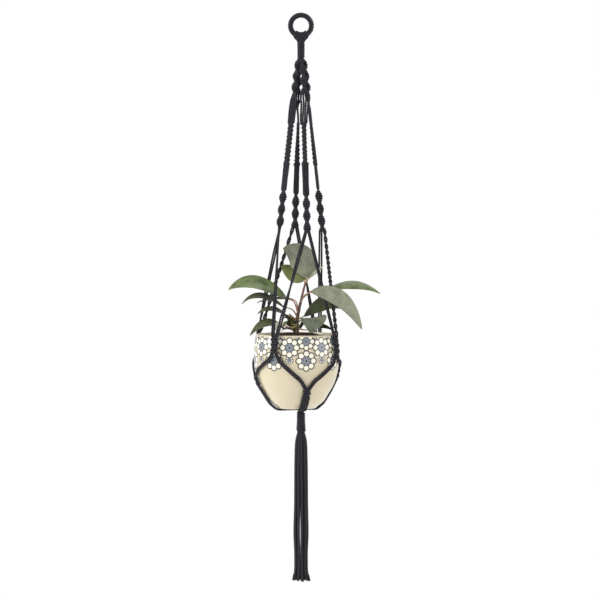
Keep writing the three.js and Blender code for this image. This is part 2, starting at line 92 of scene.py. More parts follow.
def sinnet_row(name, azimuth, swing, lies, top, bottom, bulge):
    """One band of four cords. swing: how much further round it stands in the crown. lies: how far its
    width is turned from +X above its knots, at the last knot, and below them. top, bottom and bulge:
    where its lower spiral starts, ends and first bulges."""
    return {
        "name": name,
        "azimuth": azimuth,
        "swing": swing,
        "lies": lies,
        "top": top,
        "bottom": bottom,
        "bulge": bulge,
    }


SINNETS = [
    sinnet_row("front", 16, 13, (15, 15, 45), -327, -390, -339.8),
    sinnet_row("right", 106, 0, (78, 50, 78), -316, -390, -326.4),
    sinnet_row("back", 196, 13, (90, 20, 56), -323, -383, -335.6),
    sinnet_row("left", 286, 0, (150, 150, 128), -318, -381, -327.7),
]
SIDE_KNOTS = [
    {"name": "front_left", "azimuth": -29, "top": -580, "bottom": -610, "reach": 6.2},
    {"name": "front_right", "azimuth": 61, "top": -588, "bottom": -618, "reach": 6.4},
    {"name": "back_right", "azimuth": 151, "top": -586, "bottom": -616, "reach": 5.2},
    {"name": "back_left", "azimuth": 241, "top": -582, "bottom": -612, "reach": 5.4},
]
LOWER_KNOTS = [
    {"name": "front", "azimuth": 16, "top": -672, "bottom": -690, "reach": 6.2},
    {"name": "right", "azimuth": 106, "top": -642, "bottom": -660, "reach": 5.4},
    {"name": "back", "azimuth": 196, "top": -662, "bottom": -680, "reach": 5.4},
    {"name": "left", "azimuth": 286, "top": -653, "bottom": -671, "reach": 5.4},
]

POT_X = (low_mm("pot")[0] + high_mm("pot")[0]) / 2
POT_BOTTOM_Z = low_mm("pot")[2]
POT_TOP_Z = high_mm("pot")[2]
POT_HEIGHT = POT_TOP_Z - POT_BOTTOM_Z
POT_WALL = 5
POT_OUTLINE = [
    (35, 0),
    (38.6, 3.3),
    (49.6, 12.5),
    (58.8, 27),
    (67, 41),
    (73.4, 58.5),
    (78.2, 84),
    (78.8, 107),
    (76.2, 133),
]
KNOT_OFFSET = 5.2
CORD_OFFSET = CORD_RADIUS + 1.1
BASE_TOP_Z = high_mm("base_wrap")[2]
BASE_BOTTOM_Z = low_mm("base_wrap")[2]
TASSEL_TOP_Z = high_mm("tassel")[2]
TASSEL_BOTTOM_Z = low_mm("tassel")[2]


# ---- Small maths ----


def vec(x, y, z):
    return np.array([x, y, z], float)


def unit(v):
    length = np.linalg.norm(v)
    return v / length if length > 1e-9 else v


def lerp(a, b, t):
    return a + (b - a) * t


def smooth(t):
    t = min(1.0, max(0.0, t))
    return t * t * (3 - 2 * t)


def around(bearing, radius, z, axis_x=0.0):
    """A point at a bearing from an upright axis: 0 is the front and 90 is to the right."""
    angle = math.radians(bearing)
    return vec(axis_x + radius * math.sin(angle), -radius * math.cos(angle), z)


def profile(points, at):
    """The value at a place along (place, value) points."""
    places, values = zip(*sorted(points))
    return float(np.interp(at, places, values))


def spline(points, step):
    """A smooth curve through the points, with its own points about a step apart."""
    points = [np.asarray(p, float) for p in points]
    padded = [2 * points[0] - points[1], *points, 2 * points[-1] - points[-2]]
    dense = []
    for a, b, c, d in zip(padded, padded[1:], padded[2:], padded[3:]):
        count = max(2, int(np.linalg.norm(c - b) / step * 2))
        for t in np.linspace(0, 1, count, endpoint=False):
            square = (2 * a - 5 * b + 4 * c - d) * t**2
            cube = (3 * b - a - 3 * c + d) * t**3
            dense.append(0.5 * (2 * b + (c - a) * t + square + cube))
    dense.append(points[-1])
    return evenly(np.array(dense), step)


def evenly(path, step):
    """The same path with its points evenly spaced."""
    lengths = np.concatenate([[0], np.cumsum(np.linalg.norm(np.diff(path, axis=0), axis=1))])
    count = max(3, int(round(lengths[-1] / step)) + 1)
    places = np.linspace(0, lengths[-1], count)
    return np.stack([np.interp(places, lengths, path[:, k]) for k in range(3)], axis=1)


# ---- Meshes ----


class Shape:
    """Gathers vertices in millimetres, faces, one UV pair a corner and a material number a face."""

    def __init__(self):
        self.vertices = []
        self.faces = []
        self.uvs = []
        self.slots = []
        self.flat = []

    def add(self, vertices, faces, uvs, slot=0, flat_from=None):
        """Adds a surface; its faces from the number flat_from on are shaded flat."""
        start = len(self.vertices)
        self.vertices.extend(vertices)
        for number, face in enumerate(faces):
            self.faces.append([start + i for i in face])
            self.uvs.append([uvs[i] for i in face])
            self.slots.append(slot)
            self.flat.append(flat_from is not None and number >= flat_from)

    def make(self, name, materials, body, replaces=()):
        mesh = bpy.data.meshes.new(name)
        mesh.from_pydata([tuple(np.asarray(v) * MM) for v in self.vertices], [], self.faces)
        layer = mesh.uv_layers.new(name="surface")
        flat = [value for face in self.uvs for pair in face for value in pair]
        layer.data.foreach_set("uv", flat)
        mesh.polygons.foreach_set("material_index", self.slots)
        mesh.polygons.foreach_set("use_smooth", [not flat for flat in self.flat])
        for material in materials:
            mesh.materials.append(material)
        mesh.update()
        piece = bpy.data.objects.new(name, mesh)
        bpy.context.scene.collection.objects.link(piece)
        if replaces:
            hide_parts(*replaces)
        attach(piece, body)
        return piece


def moving_frames(path):
    """Two directions square to the path and each other at each point, turning as little as they can."""
    tangents = np.gradient(path, axis=0)
    tangents /= np.linalg.norm(tangents, axis=1)[:, None]
    start = vec(0, 1, 0) if abs(tangents[0][1]) < 0.8 else vec(1, 0, 0)
    normal = unit(np.cross(tangents[0], start))
    normals = []
    for tangent in tangents:
        normal = unit(normal - tangent * np.dot(normal, tangent))
        normals.append(normal)
    normals = np.array(normals)
    return normals, np.cross(tangents, normals)


def tube_faces(rings, sides):
    """The faces between rings of vertices, each ring with as many sides."""
    faces = []
    for i in range(rings - 1):
        for j in range(sides):
            k = (j + 1) % sides
            near, far = i * sides, (i + 1) * sides
            faces.append([near + j, near + k, far + k, far + j])
    return faces


PLY_CENTRE = 0.35
PLY_RADIUS = 0.65
LAY_LENGTH = 14.0


def ply_outline(angle, plies):
    """The cord's radius at an angle, as a share of its greatest radius: rounded plies."""
    if plies < 2:
        return 1.0
    turn = 2 * math.pi / plies
    off = (angle + turn / 2) % turn - turn / 2
    return PLY_CENTRE * math.cos(off) + math.sqrt(PLY_RADIUS**2 - (PLY_CENTRE * math.sin(off)) ** 2)


def add_strand(shape, path, radius=CORD_RADIUS, sides=12, plies=3, lay=LAY_LENGTH, radii=None, slot=0):
    """One twisted strand along a path, closed at its ends."""
    path = np.asarray(path, float)
    normals, sides_way = moving_frames(path)
    lengths = np.concatenate([[0], np.cumsum(np.linalg.norm(np.diff(path, axis=0), axis=1))])
    start_turn = rng.random() * 2 * math.pi
    outline = [ply_outline(2 * math.pi * j / sides, plies) for j in range(sides)]
    vertices = []
    uvs = []
    for i, point in enumerate(path):
        turn = start_turn + 2 * math.pi * lengths[i] / lay
        size = radius * (1 if radii is None else radii(i / (len(path) - 1)))
        for j in range(sides):
            angle = 2 * math.pi * j / sides + turn
            way = normals[i] * math.cos(angle) + sides_way[i] * math.sin(angle)
            vertices.append(point + way * size * outline[j])
            uvs.append((j / sides, lengths[i] * MM * 10))
    faces = tube_faces(len(path), sides)
    whole = len(vertices)
    vertices += vertices[:sides] + vertices[-sides:]
    uvs += uvs[:sides] + uvs[-sides:]
    faces.append([whole + j for j in range(sides)][::-1])
    faces.append([whole + sides + j for j in range(sides)])
    shape.add(vertices, faces, uvs, slot, len(faces) - 2)


def add_lathe(shape, outline, axis_x=0.0, segments=96, slot=0):
    """A turned form from (radius, z) points, from axis to axis."""
    vertices = []
    uvs = []
    for i, (radius, z) in enumerate(outline):
        for j in range(segments):
            angle = 2 * math.pi * j / segments
            vertices.append(vec(axis_x + radius * math.cos(angle), radius * math.sin(angle), z))
            uvs.append((j / segments, i / len(outline)))
    faces = tube_faces(len(outline), segments)
    last = (len(outline) - 1) * segments
    faces.append([j for j in range(segments)][::-1])
    faces.append([last + j for j in range(segments)])
    shape.add(vertices, faces, uvs, slot)


# ---- Materials ----


def linear(red, green, blue):
    """A screen colour of 0 to 255 as the linear colour that a shader takes."""

    def channel(value):
        value /= 255
        return value / 12.92 if value <= 0.04045 else ((value + 0.055) / 1.055) ** 2.4

    return (channel(red), channel(green), channel(blue), 1.0)


class Recipe:
    """A node material with its Principled shader, and short calls for its nodes."""

    def __init__(self, name, roughness, **constants):
        self.material = bpy.data.materials.new(name)
        self.material.use_nodes = True
        self.tree = self.material.node_tree
        self.shader = self.tree.nodes["Principled BSDF"]
        self.shader.inputs["Roughness"].default_value = roughness
        for key, value in constants.items():
            self.shader.inputs[key.replace("_", " ")].default_value = value

    def node(self, kind, **settings):
        node = self.tree.nodes.new(kind)
        for key, value in settings.items():
            setattr(node, key, value)
        return node

    def feed(self, socket, value):
        if isinstance(value, bpy.types.NodeSocket):
            self.tree.links.new(value, socket)
        else:
            socket.default_value = value

    def math(self, operation, a, b=0.0, c=0.0):
        node = self.node("ShaderNodeMath", operation=operation)
        for socket, value in zip(node.inputs, (a, b, c)):
            self.feed(socket, value)
        return node.outputs[0]

    def plus(self, a, b):
        return self.math("ADD", a, b)

    def minus(self, a, b):
        return self.math("SUBTRACT", a, b)

    def times(self, a, b):
        return self.math("MULTIPLY", a, b)

    def times_plus(self, a, b, c):
        return self.math("MULTIPLY_ADD", a, b, c)

    def greater(self, a, b):
        return self.math("MAXIMUM", a, b)

    def opposite(self, share):
        return self.math("SUBTRACT", 1.0, share)

    def clamped_step(self, low, high, value):
        """0 below low, 1 above high and smooth between."""
        node = self.node("ShaderNodeMapRange", interpolation_type="SMOOTHSTEP")
        self.feed(node.inputs["Value"], value)
        node.inputs["From Min"].default_value = low
        node.inputs["From Max"].default_value = high
        return node.outputs[0]

    def mix(self, share, a, b):
        node = self.node("ShaderNodeMix", data_type="RGBA")
        self.feed(node.inputs[0], share)
        self.feed(node.inputs[6], a)
        self.feed(node.inputs[7], b)
        return node.outputs[2]

    def noise(self, vector, scale, detail=3.0, roughness=0.5):
        node = self.node("ShaderNodeTexNoise")
        self.feed(node.inputs["Vector"], vector)
        node.inputs["Scale"].default_value = scale
        node.inputs["Detail"].default_value = detail
        node.inputs["Roughness"].default_value = roughness
        return node.outputs["Fac"]

    def place(self):
        return self.node("ShaderNodeTexCoord").outputs["Object"]

    def surface(self):
        return self.node("ShaderNodeUVMap", uv_map="surface").outputs["UV"]

    def split(self, vector):
        node = self.node("ShaderNodeSeparateXYZ")
        self.feed(node.inputs[0], vector)
        return node.outputs[0], node.outputs[1], node.outputs[2]

    def join(self, x, y, z=0.0):
        node = self.node("ShaderNodeCombineXYZ")
        for socket, value in zip(node.inputs, (x, y, z)):
            self.feed(socket, value)
        return node.outputs[0]

    def colour(self, value):
        self.feed(self.shader.inputs["Base Color"], value)

    def rough(self, low, high, value):
        node = self.node("ShaderNodeMapRange")
        self.feed(node.inputs["Value"], value)
        node.inputs["To Min"].default_value = low
        node.inputs["To Max"].default_value = high
        self.feed(self.shader.inputs["Roughness"], node.outputs[0])

    def bump(self, height, distance_mm, strength=1.0):
        node = self.node("ShaderNodeBump")
        node.inputs["Strength"].default_value = strength
        node.inputs["Distance"].default_value = distance_mm * MM
        self.feed(node.inputs["Height"], height)
        self.feed(self.shader.inputs["Normal"], node.outputs[0])


def cord_material():
    """Charcoal cotton: fibres along the plies, painted shade that makes the grooves between the plies
    darker and their crests lighter, and lighter where it is fluffed.
    """
    sheen = {"Sheen_Weight": 0.05, "Sheen_Roughness": 0.5}
    recipe = Recipe("charcoal_cotton_cord", 0.9, **sheen, Specular_IOR_Level=0.12)
    across, along, _ = recipe.split(recipe.surface())
    stretched = recipe.join(recipe.times(across, 26), recipe.times(along, 22))
    fibres = recipe.noise(stretched, 1.0, 4)
    fluff = recipe.noise(recipe.place(), 260, 2)
    # Painted shade: the colour darkens in the grooves between the plies and lightens on their crests
    ply_painted_shade = recipe.math("COSINE", recipe.times(across, 6 * math.pi))
    ply_painted_shade = recipe.times_plus(ply_painted_shade, 0.5, 0.5)
    fibres_and_painted_shade = recipe.times_plus(ply_painted_shade, 0.5, recipe.times(fibres, 0.5))
    dark = recipe.mix(fibres_and_painted_shade, linear(26, 26, 30), linear(62, 61, 68))
    recipe.colour(recipe.mix(recipe.clamped_step(0.6, 0.85, fluff), dark, linear(84, 84, 91)))
    recipe.bump(fibres, 0.25, 0.7)
    return recipe.material


def wire_material():
    recipe = Recipe("ring_wire", 0.35, Metallic=1.0)
    wear = recipe.noise(recipe.place(), 900, 4)
    recipe.colour(recipe.mix(wear, linear(70, 71, 75), linear(110, 112, 116)))
    recipe.rough(0.28, 0.5, wear)
    return recipe.material


def soil_material():
    recipe = Recipe("potting_mix", 0.95)
    grains = recipe.noise(recipe.place(), 700, 6, 0.7)
    patches = recipe.noise(recipe.place(), 90, 3)
    brown = recipe.mix(patches, linear(38, 26, 20), linear(78, 56, 42))
    recipe.colour(recipe.mix(recipe.clamped_step(0.5, 0.75, grains), brown, linear(104, 80, 62)))
    recipe.bump(grains, 1.2, 0.9)
    return recipe.material


def stem_material():
    """The main stem: brown bark, redder towards the top."""
    recipe = Recipe("plant_stem", 0.55)
    streaks = recipe.noise(recipe.place(), 150, 4)
    _, _, height = recipe.split(recipe.place())
    rise = recipe.times_plus(streaks, 0.03, height)
    bark = recipe.mix(streaks, linear(58, 44, 36), linear(104, 80, 64))
    shoot = recipe.mix(streaks, linear(84, 46, 44), linear(126, 74, 66))
    recipe.colour(recipe.mix(recipe.clamped_step(-0.545, -0.5, rise), bark, shoot))
    recipe.bump(streaks, 0.5, 0.6)
    return recipe.material


def stalk_material():
    """The leaves' own stalks: pale green to pink."""
    recipe = Recipe("leaf_stalks", 0.45)
    blush = recipe.noise(recipe.place(), 55, 3)
    green = recipe.mix(recipe.clamped_step(0.35, 0.65, blush), linear(150, 146, 96), linear(176, 126, 110))
    recipe.colour(green)
    recipe.bump(recipe.noise(recipe.place(), 500, 3), 0.2, 0.5)
    return recipe.material


def leaf_material(name, deep, light, vein, roughness, vein_strength):
    """A leaf's face: a midrib, side veins that curve forward, and mottled colour."""
    recipe = Recipe(name, roughness, Specular_IOR_Level=0.3)
    across, along, _ = recipe.split(recipe.surface())
    off = recipe.math("ABSOLUTE", recipe.times_plus(across, 2.0, -1.0))
    midrib = recipe.opposite(recipe.clamped_step(0.015, 0.07, off))
    forward = recipe.times_plus(recipe.math("POWER", off, 1.4), -0.16, along)
    ribs = recipe.math("ABSOLUTE", recipe.math("SINE", recipe.times(forward, 7.5 * math.pi)))
    side_veins = recipe.opposite(recipe.clamped_step(0.03, 0.2, ribs))
    faded = recipe.times(side_veins, recipe.times_plus(off, -0.5, 0.6))
    veins = recipe.greater(midrib, faded)
    mottle = recipe.noise(recipe.place(), 60, 4)
    face = recipe.mix(recipe.clamped_step(0.3, 0.7, mottle), linear(*deep), linear(*light))
    recipe.colour(recipe.mix(recipe.times(veins, vein_strength), face, linear(*vein)))
    recipe.rough(roughness - 0.08, roughness + 0.12, mottle)
    fine = recipe.noise(recipe.place(), 900, 3)
    recipe.bump(recipe.times_plus(veins, -1.0, recipe.times(fine, 0.25)), 0.35, 0.6)
    return recipe.material


FLOWER_SPACING = 45.0
FLOWER_BANDS = [
    {"bearing": 13.0, "below_rim": 10.5, "size": 17.0},
    {"bearing": 35.5, "below_rim": 21.5, "size": 19.0},
    {"bearing": 13.0, "below_rim": 45.5, "size": 19.5},
    {"bearing": 35.5, "below_rim": 44.0, "size": 7.5},
    {"bearing": 24.3, "below_rim": 7.5, "size": 7.0},
    {"bearing": 1.7, "below_rim": 7.5, "size": 7.0},
]
PETALS = 8


def flower(recipe, across, up, size):
    """(cover, ink, centre, hatching) of one flower, from the place in millimetres beside its own
    centre: round petals in a ring, outlined in ink, about a hatched centre."""
    squares = recipe.plus(recipe.times(across, across), recipe.times(up, up))
    distance = recipe.math("SQRT", squares)
    angle = recipe.math("ARCTAN2", up, across)
    step = 2 * math.pi / PETALS
    turned = recipe.minus(recipe.math("FRACT", recipe.times_plus(angle, 1 / step, 8.5)), 0.5)
    off_angle = recipe.times(turned, step)
    petal_at = 0.67 * size
    petal_radius = 0.325 * size
    along = recipe.minus(recipe.times(distance, recipe.math("COSINE", off_angle)), petal_at)
    aside = recipe.times(distance, recipe.math("SINE", off_angle))
    from_petal = recipe.math("SQRT", recipe.plus(recipe.times(along, along), recipe.times(aside, aside)))
    line = 0.07 * size + 0.75
    inner_radius = petal_radius - line
    in_petal = recipe.opposite(recipe.clamped_step(inner_radius, inner_radius + 0.3, from_petal))
    in_outline = recipe.opposite(recipe.clamped_step(petal_radius, petal_radius + 0.3, from_petal))
    heart = recipe.opposite(recipe.clamped_step(0.44 * size, 0.47 * size, distance))
    cover = recipe.greater(in_outline, heart)
    ink = recipe.opposite(recipe.greater(in_petal, heart))
    rays = recipe.math("COSINE", recipe.times(angle, 11))
    ray_lines = recipe.clamped_step(0.0, 0.4, rays)
    spokes = recipe.times(ray_lines, recipe.clamped_step(0.16 * size, 0.22 * size, distance))
    ring = recipe.clamped_step(0.38 * size, 0.41 * size, distance)
    eye = recipe.opposite(recipe.clamped_step(0.1 * size, 0.14 * size, distance))
    hatching = recipe.greater(recipe.greater(spokes, ring), eye)
    return cover, ink, heart, hatching


def glaze_material():
    """Cream glaze, with a printed band of overlapping flowers below the rim."""
    recipe = Recipe("flowered_cream_glaze", 0.3, Coat_Weight=0.5, Coat_IOR=1.6, Coat_Roughness=0.14)
    x, y, z = recipe.split(recipe.place())
    from_axis = recipe.minus(x, POT_X * MM)
    bearing = recipe.math("DEGREES", recipe.math("ARCTAN2", from_axis, recipe.times(y, -1.0)))
    below_rim = recipe.math("DIVIDE", recipe.minus(POT_TOP_Z * MM, z), MM)
    clouds = recipe.noise(recipe.place(), 30, 3)
    colour = recipe.mix(clouds, linear(190, 178, 148), linear(202, 191, 163))
    speck = recipe.clamped_step(0.72, 0.78, recipe.noise(recipe.place(), 520, 2))
    colour = recipe.mix(recipe.times(speck, 0.3), colour, linear(160, 140, 110))
    banded = recipe.clamped_step(2.4, 3.0, below_rim)
    squares = recipe.plus(recipe.times(from_axis, from_axis), recipe.times(y, y))
    outside = recipe.clamped_step(0.0725, 0.0735, recipe.math("SQRT", squares))
    for band in reversed(FLOWER_BANDS):
        shifted = recipe.math("DIVIDE", recipe.minus(bearing, band["bearing"]), FLOWER_SPACING)
        cell = recipe.minus(recipe.math("FRACT", recipe.plus(shifted, 8.5)), 0.5)
        arc = math.radians(FLOWER_SPACING) * 77
        across = recipe.times(cell, arc)
        up = recipe.minus(band["below_rim"], below_rim)
        cover, ink, heart, hatching = flower(recipe, across, up, band["size"])
        petal = recipe.mix(heart, linear(236, 230, 212), linear(132, 142, 152))
        petal = recipe.mix(recipe.times(hatching, heart), petal, linear(52, 58, 66))
        petal = recipe.mix(ink, petal, linear(44, 44, 38))
        printed = recipe.times(recipe.times(cover, outside), banded)
        colour = recipe.mix(printed, colour, petal)
    recipe.colour(colour)
    ripple = recipe.noise(recipe.place(), 45, 2)
    recipe.bump(ripple, 0.5, 0.25)
    return recipe.material


CORD = cord_material()
WIRE = wire_material()
GLAZE = glaze_material()
SOIL = soil_material()
STEM = stem_material()
STALK = stalk_material()
LEAF_TOP = leaf_material("leaf_upper_face", (62, 76, 38), (104, 119, 68), (138, 150, 98), 0.42, 0.5)
LEAF_UNDER = leaf_material("leaf_under_face", (110, 113, 94), (136, 138, 118), (150, 152, 132), 0.55, 0.5)
LEAF_GREY = leaf_material("leaf_grey_face", (72, 80, 64), (104, 109, 90), (122, 128, 106), 0.55, 0.5)
LEAF_DARK = leaf_material("leaf_shaded_face", (42, 50, 26), (76, 84, 46), (100, 108, 70), 0.55, 0.4)
LEAF_OLIVE = leaf_material("leaf_olive_face", (88, 100, 52), (122, 132, 76), (146, 154, 102), 0.5, 0.5)
LEAF_PALE = leaf_material("leaf_young_face", (150, 158, 128), (184, 190, 162), (200, 204, 180), 0.5, 0.5)


# ---- Camera, light and surroundings ----

VIEW_DISTANCE = 4.0
VIEW_ELEVATION = 2.0
VIEW_WIDTH = 1.1016
VIEW_CENTRE = Vector((-0.0018, 0, -0.516))
FLOOR_REACH = 4.0
FLOOR_BELOW_TASSEL = 900


def make_camera():
    camera_data = bpy.data.cameras.new("camera")
    camera = bpy.data.objects.new("camera", camera_data)
    bpy.context.scene.collection.objects.link(camera)
    angle = math.radians(VIEW_ELEVATION)
    camera.location = VIEW_CENTRE + Vector((0, -math.cos(angle), math.sin(angle))) * VIEW_DISTANCE
    camera.rotation_euler = (math.pi / 2 - angle, 0, 0)
    camera_data.lens = camera_data.sensor_width * VIEW_DISTANCE / VIEW_WIDTH
    bpy.context.scene.camera = camera


def make_light(name, place, aim, size, power):
    data = bpy.data.lights.new(name, "AREA")
    data.size = size
    data.energy = power
    light = bpy.data.objects.new(name, data)
    light.location = place
    light.rotation_euler = (Vector(aim) - Vector(place)).to_track_quat("-Z", "Y").to_euler()
    bpy.context.scene.collection.objects.link(light)


def make_surroundings():
    world = bpy.data.worlds.new("white_studio")
    world.use_nodes = True
    world.node_tree.nodes["Background"].inputs[0].default_value = (1, 1, 1, 1)
    world.node_tree.nodes["Background"].inputs[1].default_value = 1.0
    bpy.context.scene.world = world
    bpy.context.scene.view_settings.view_transform = "Standard"

    floor = bpy.data.meshes.new("studio_floor")
    floor_z = (TASSEL_BOTTOM_Z - FLOOR_BELOW_TASSEL) * MM
    rim = [tuple(around(5 * k, FLOOR_REACH, floor_z)) for k in range(72)]
    floor.from_pydata(rim, [], [list(range(72))])
    paint = Recipe("studio_paint", 0.9)
    speck = paint.noise(paint.place(), 4, 2)
    paint.colour(paint.mix(speck, linear(250, 250, 250), linear(254, 254, 254)))
    floor.materials.append(paint.material)
    stage = bpy.data.objects.new("studio_floor", floor)
    bpy.context.scene.collection.objects.link(stage)

    middle = (0, 0, -0.55)
    make_light("key_left", (-3.0, -0.9, 0.4), middle, 1.4, 62)
    make_light("fill_right", (2.8, -0.9, -0.2), middle, 1.6, 14)
    make_light("back_top", (0.4, 1.8, 1.2), middle, 1.2, 6)


# ---- Tassel: sixteen free strands ----

OPENED_RADIUS = 2.55
STRAND_TOP_Z = TASSEL_TOP_Z + 2.8
TASSEL_RADII = [
    (STRAND_TOP_Z, 4.2),
    (TASSEL_TOP_Z - 5, 7.2),
    (TASSEL_TOP_Z - 22, 9.7),
    (TASSEL_TOP_Z - 62, 10.6),
    (TASSEL_TOP_Z - 132, 11.0),
    (TASSEL_TOP_Z - 184, 12.4),
    (TASSEL_TOP_Z - 226, 10.6),
    (TASSEL_TOP_Z - 254, 10.9),
    (TASSEL_TOP_Z - 266, 12.4),
    (TASSEL_BOTTOM_Z, 14.4),
]
# Strands in each ring of the bundle, the ring's share of its radius, and its first bearing
TASSEL_RINGS = [(11, 1.0, 4), (5, 0.5, 22)]
TASSEL_FLATNESS = 0.84


def make_tassel():
    fringe = Shape()
    number = 0
    for count, share, first_bearing in TASSEL_RINGS:
        for k in range(count):
            number += 1
            make_tassel_strand(number, first_bearing + 360 * k / count, share, fringe)
    fringe.make("tassel_frayed_ends", [CORD], "tassel")


def make_tassel_strand(number, bearing, share, fringe):
    bearing += rng.uniform(-5, 5)
    share *= rng.uniform(0.94, 1.02)
    end_z = TASSEL_BOTTOM_Z + rng.uniform(0, 2)
    drift = rng.uniform(-9, 9)
    sway = rng.uniform(0, 2 * math.pi)
    points = []
    for t in np.linspace(0, 1, 18):
        z = lerp(STRAND_TOP_Z, end_z, t)
        point = around(bearing + drift * t, profile(TASSEL_RADII, z) * share, z)
        point[1] *= TASSEL_FLATNESS
        wave = 0.4 * math.sin(sway + 9 * t) * smooth(t * 4)
        points.append(point + around(bearing + 90, wave, 0))
    path = spline(points, CORD_STEP)
    shape = Shape()
    add_strand(shape, path, OPENED_RADIUS, sides=14, radii=lambda t: 1 + 0.2 * smooth((t - 0.94) / 0.06))
    replaces = ["tassel"] if number == 1 else ()
    piece = shape.make(f"tassel_strand_{number:02d}", [CORD], "tassel", replaces)
    add_frayed_end(fringe, path)


def add_frayed_end(shape, path):
    """The plies and loose fibres that open out of a strand's cut end."""
    end = path[-1]
    outward = unit(vec(end[0], end[1], 0))
    for k in range(5):
        way = 2 * math.pi * k / 5 + rng.uniform(-0.4, 0.4)
        spread = vec(math.cos(way), math.sin(way), 0)
        start = end + spread * 0.8 + vec(0, 0, 9)
        middle = end + spread * 1.5 + outward * 0.3 + vec(0, 0, 3)
        tip = end + spread * 1.9 + outward * rng.uniform(0.2, 1.2) - vec(0, 0, rng.uniform(0, 1.4))
        add_strand(shape, spline([start, middle, tip], 1.5), 0.85, sides=8, plies=2, lay=8)
    for k in range(26):
        way = rng.uniform(0, 2 * math.pi)
        reach = rng.uniform(1.4, 3.4)
        spread = vec(math.cos(way), math.sin(way), 0) * reach + outward * rng.uniform(0, 0.9)
        start = end + vec(math.cos(way), math.sin(way), 0) * 1.2 + vec(0, 0, rng.uniform(3, 10))
        tip = end + spread - vec(0, 0, rng.uniform(-1, 2.5))
        middle = lerp(start, tip, 0.5) + vec(rng.uniform(-0.6, 0.6), rng.uniform(-0.6, 0.6), 0)
        add_strand(shape, spline([start, middle, tip], 2.0), 0.17, sides=4, plies=0)


# ---- Ring ----


def ring_point(angle, tube_radius=0.0, tube_angle=0.0):
    """A point about the ring's wire. Angles run from the ring's bottom up its right side, and round
    the wire from its outer side towards the back."""
    out = vec(math.sin(angle), 0, -math.cos(angle))
    centre = vec(0, 0, RING_Z) + out * RING_RADIUS
    return centre + out * tube_radius * math.cos(tube_angle) + vec(0, tube_radius * math.sin(tube_angle), 0)


def make_ring():
    hoop = Shape()
    circle = [ring_point(a) for a in np.linspace(0, 2 * math.pi, 97)]
    add_strand(hoop, np.array(circle), HOOP_RADIUS, sides=16, plies=0)
    hoop.make("ring_wire_hoop", [WIRE], "ring", ["ring_hoop"])

    coil = Shape()
    half_gap = math.radians(40)
    wrap_radius = (COVER_RADIUS - HOOP_RADIUS) / 2
    turns = 41
    steps = turns * 20
    path = []
    for i in range(steps + 1):
        t = i / steps
        angle = lerp(half_gap, 2 * math.pi - half_gap, t)
        path.append(ring_point(angle, HOOP_RADIUS + wrap_radius - 0.1, 2 * math.pi * turns * t))
    add_strand(coil, np.array(path), wrap_radius + 0.1, sides=10, lay=9)
    coil.make("ring_cord_cover", [CORD], "ring", ["ring_cover"])


# ---- Neck ----

FOLDED_CORDS = 8
LOOP_REACH = 5.9


def make_neck():
    loops = Shape()
    for k in range(FOLDED_CORDS):
        share = k / (FOLDED_CORDS - 1) * 2 - 1
        angle = share * math.radians(36)
        points = []
        for side in (-1, 1):
            gather = vec(share * 4.2, side * (1.7 + 2.2 * (1 - abs(share))), NECK_TOP_Z)
            run = [
                gather - vec(gather[0] * 0.35, gather[1] * 0.1, 31),
                gather - vec(gather[0] * 0.22, 0, 10),
                gather + vec(share * 1.4, side * 0.8, 1.6),
                ring_point(angle * 0.82, LOOP_REACH, side * math.radians(38)),
                ring_point(angle, LOOP_REACH, side * math.radians(85)),
                ring_point(angle, LOOP_REACH, side * math.radians(135)),
            ]
            points.extend(run if side < 0 else [ring_point(angle, LOOP_REACH, math.pi), *run[::-1]])
        add_strand(loops, spline(points, CORD_STEP))
    loops.make("neck_folded_cords", [CORD], "neck", ["neck_loops"])

    wrap = Shape()
    radii = [(NECK_BOTTOM_Z, 7.0), (NECK_BOTTOM_Z + 6, 7.1), (NECK_TOP_Z - 6, 7.3), (NECK_TOP_Z, 7.7)]
    add_strand(wrap, coil_path(NECK_TOP_Z - 1.6, NECK_BOTTOM_Z + 1.6, radii, CORD_RADIUS), lay=12)
    wrap.make("neck_gathering_wrap", [CORD], "neck", ["neck_wrap"])


def coil_path(top, bottom, radii, cord_radius):
    """A close coil round an upright bundle, its outer radius given by (z, radius) points."""
    turns = (top - bottom) / (2 * cord_radius * 0.96)
    steps = int(turns * 28)
    path = []
    for i in range(steps + 1):
        t = i / steps
        z = lerp(top, bottom, t)
        path.append(around(-360 * turns * t, profile(radii, z) - cord_radius, z))
    return np.array(path)


# ---- Sinnets ----


def sinnet_radius(z):
    return SINNET_TOP_RADIUS + SINNET_SLOPE * (NECK_BOTTOM_Z - z)


def sinnet_bearing(sinnet, z):
    """Its azimuth, with the swing coming in over the crown's first bulge and going out below the crown."""
    coming_in = smooth((SWING_TOP_Z - z) / SWING_IN_LENGTH)
    going_out = smooth((SWING_BOTTOM_Z - z) / SWING_OUT_LENGTH)
    return sinnet["azimuth"] + sinnet["swing"] * (coming_in - going_out)


def crown_turn(sinnet, z):
    return sinnet["azimuth"] - 90 + 180 * (CROWN_FIRST_BULGE_Z - z) / CROWN_HALF_TURN


def spiral_turn(sinnet, z):
    return 180 * (sinnet["bulge"] - z) / SPIRAL_HALF_TURN


def same_lie(angle, near):
    """The angle nearest to another that lies the same way: a band looks alike after half a turn."""
    return angle + 180 * round((near - angle) / 180)


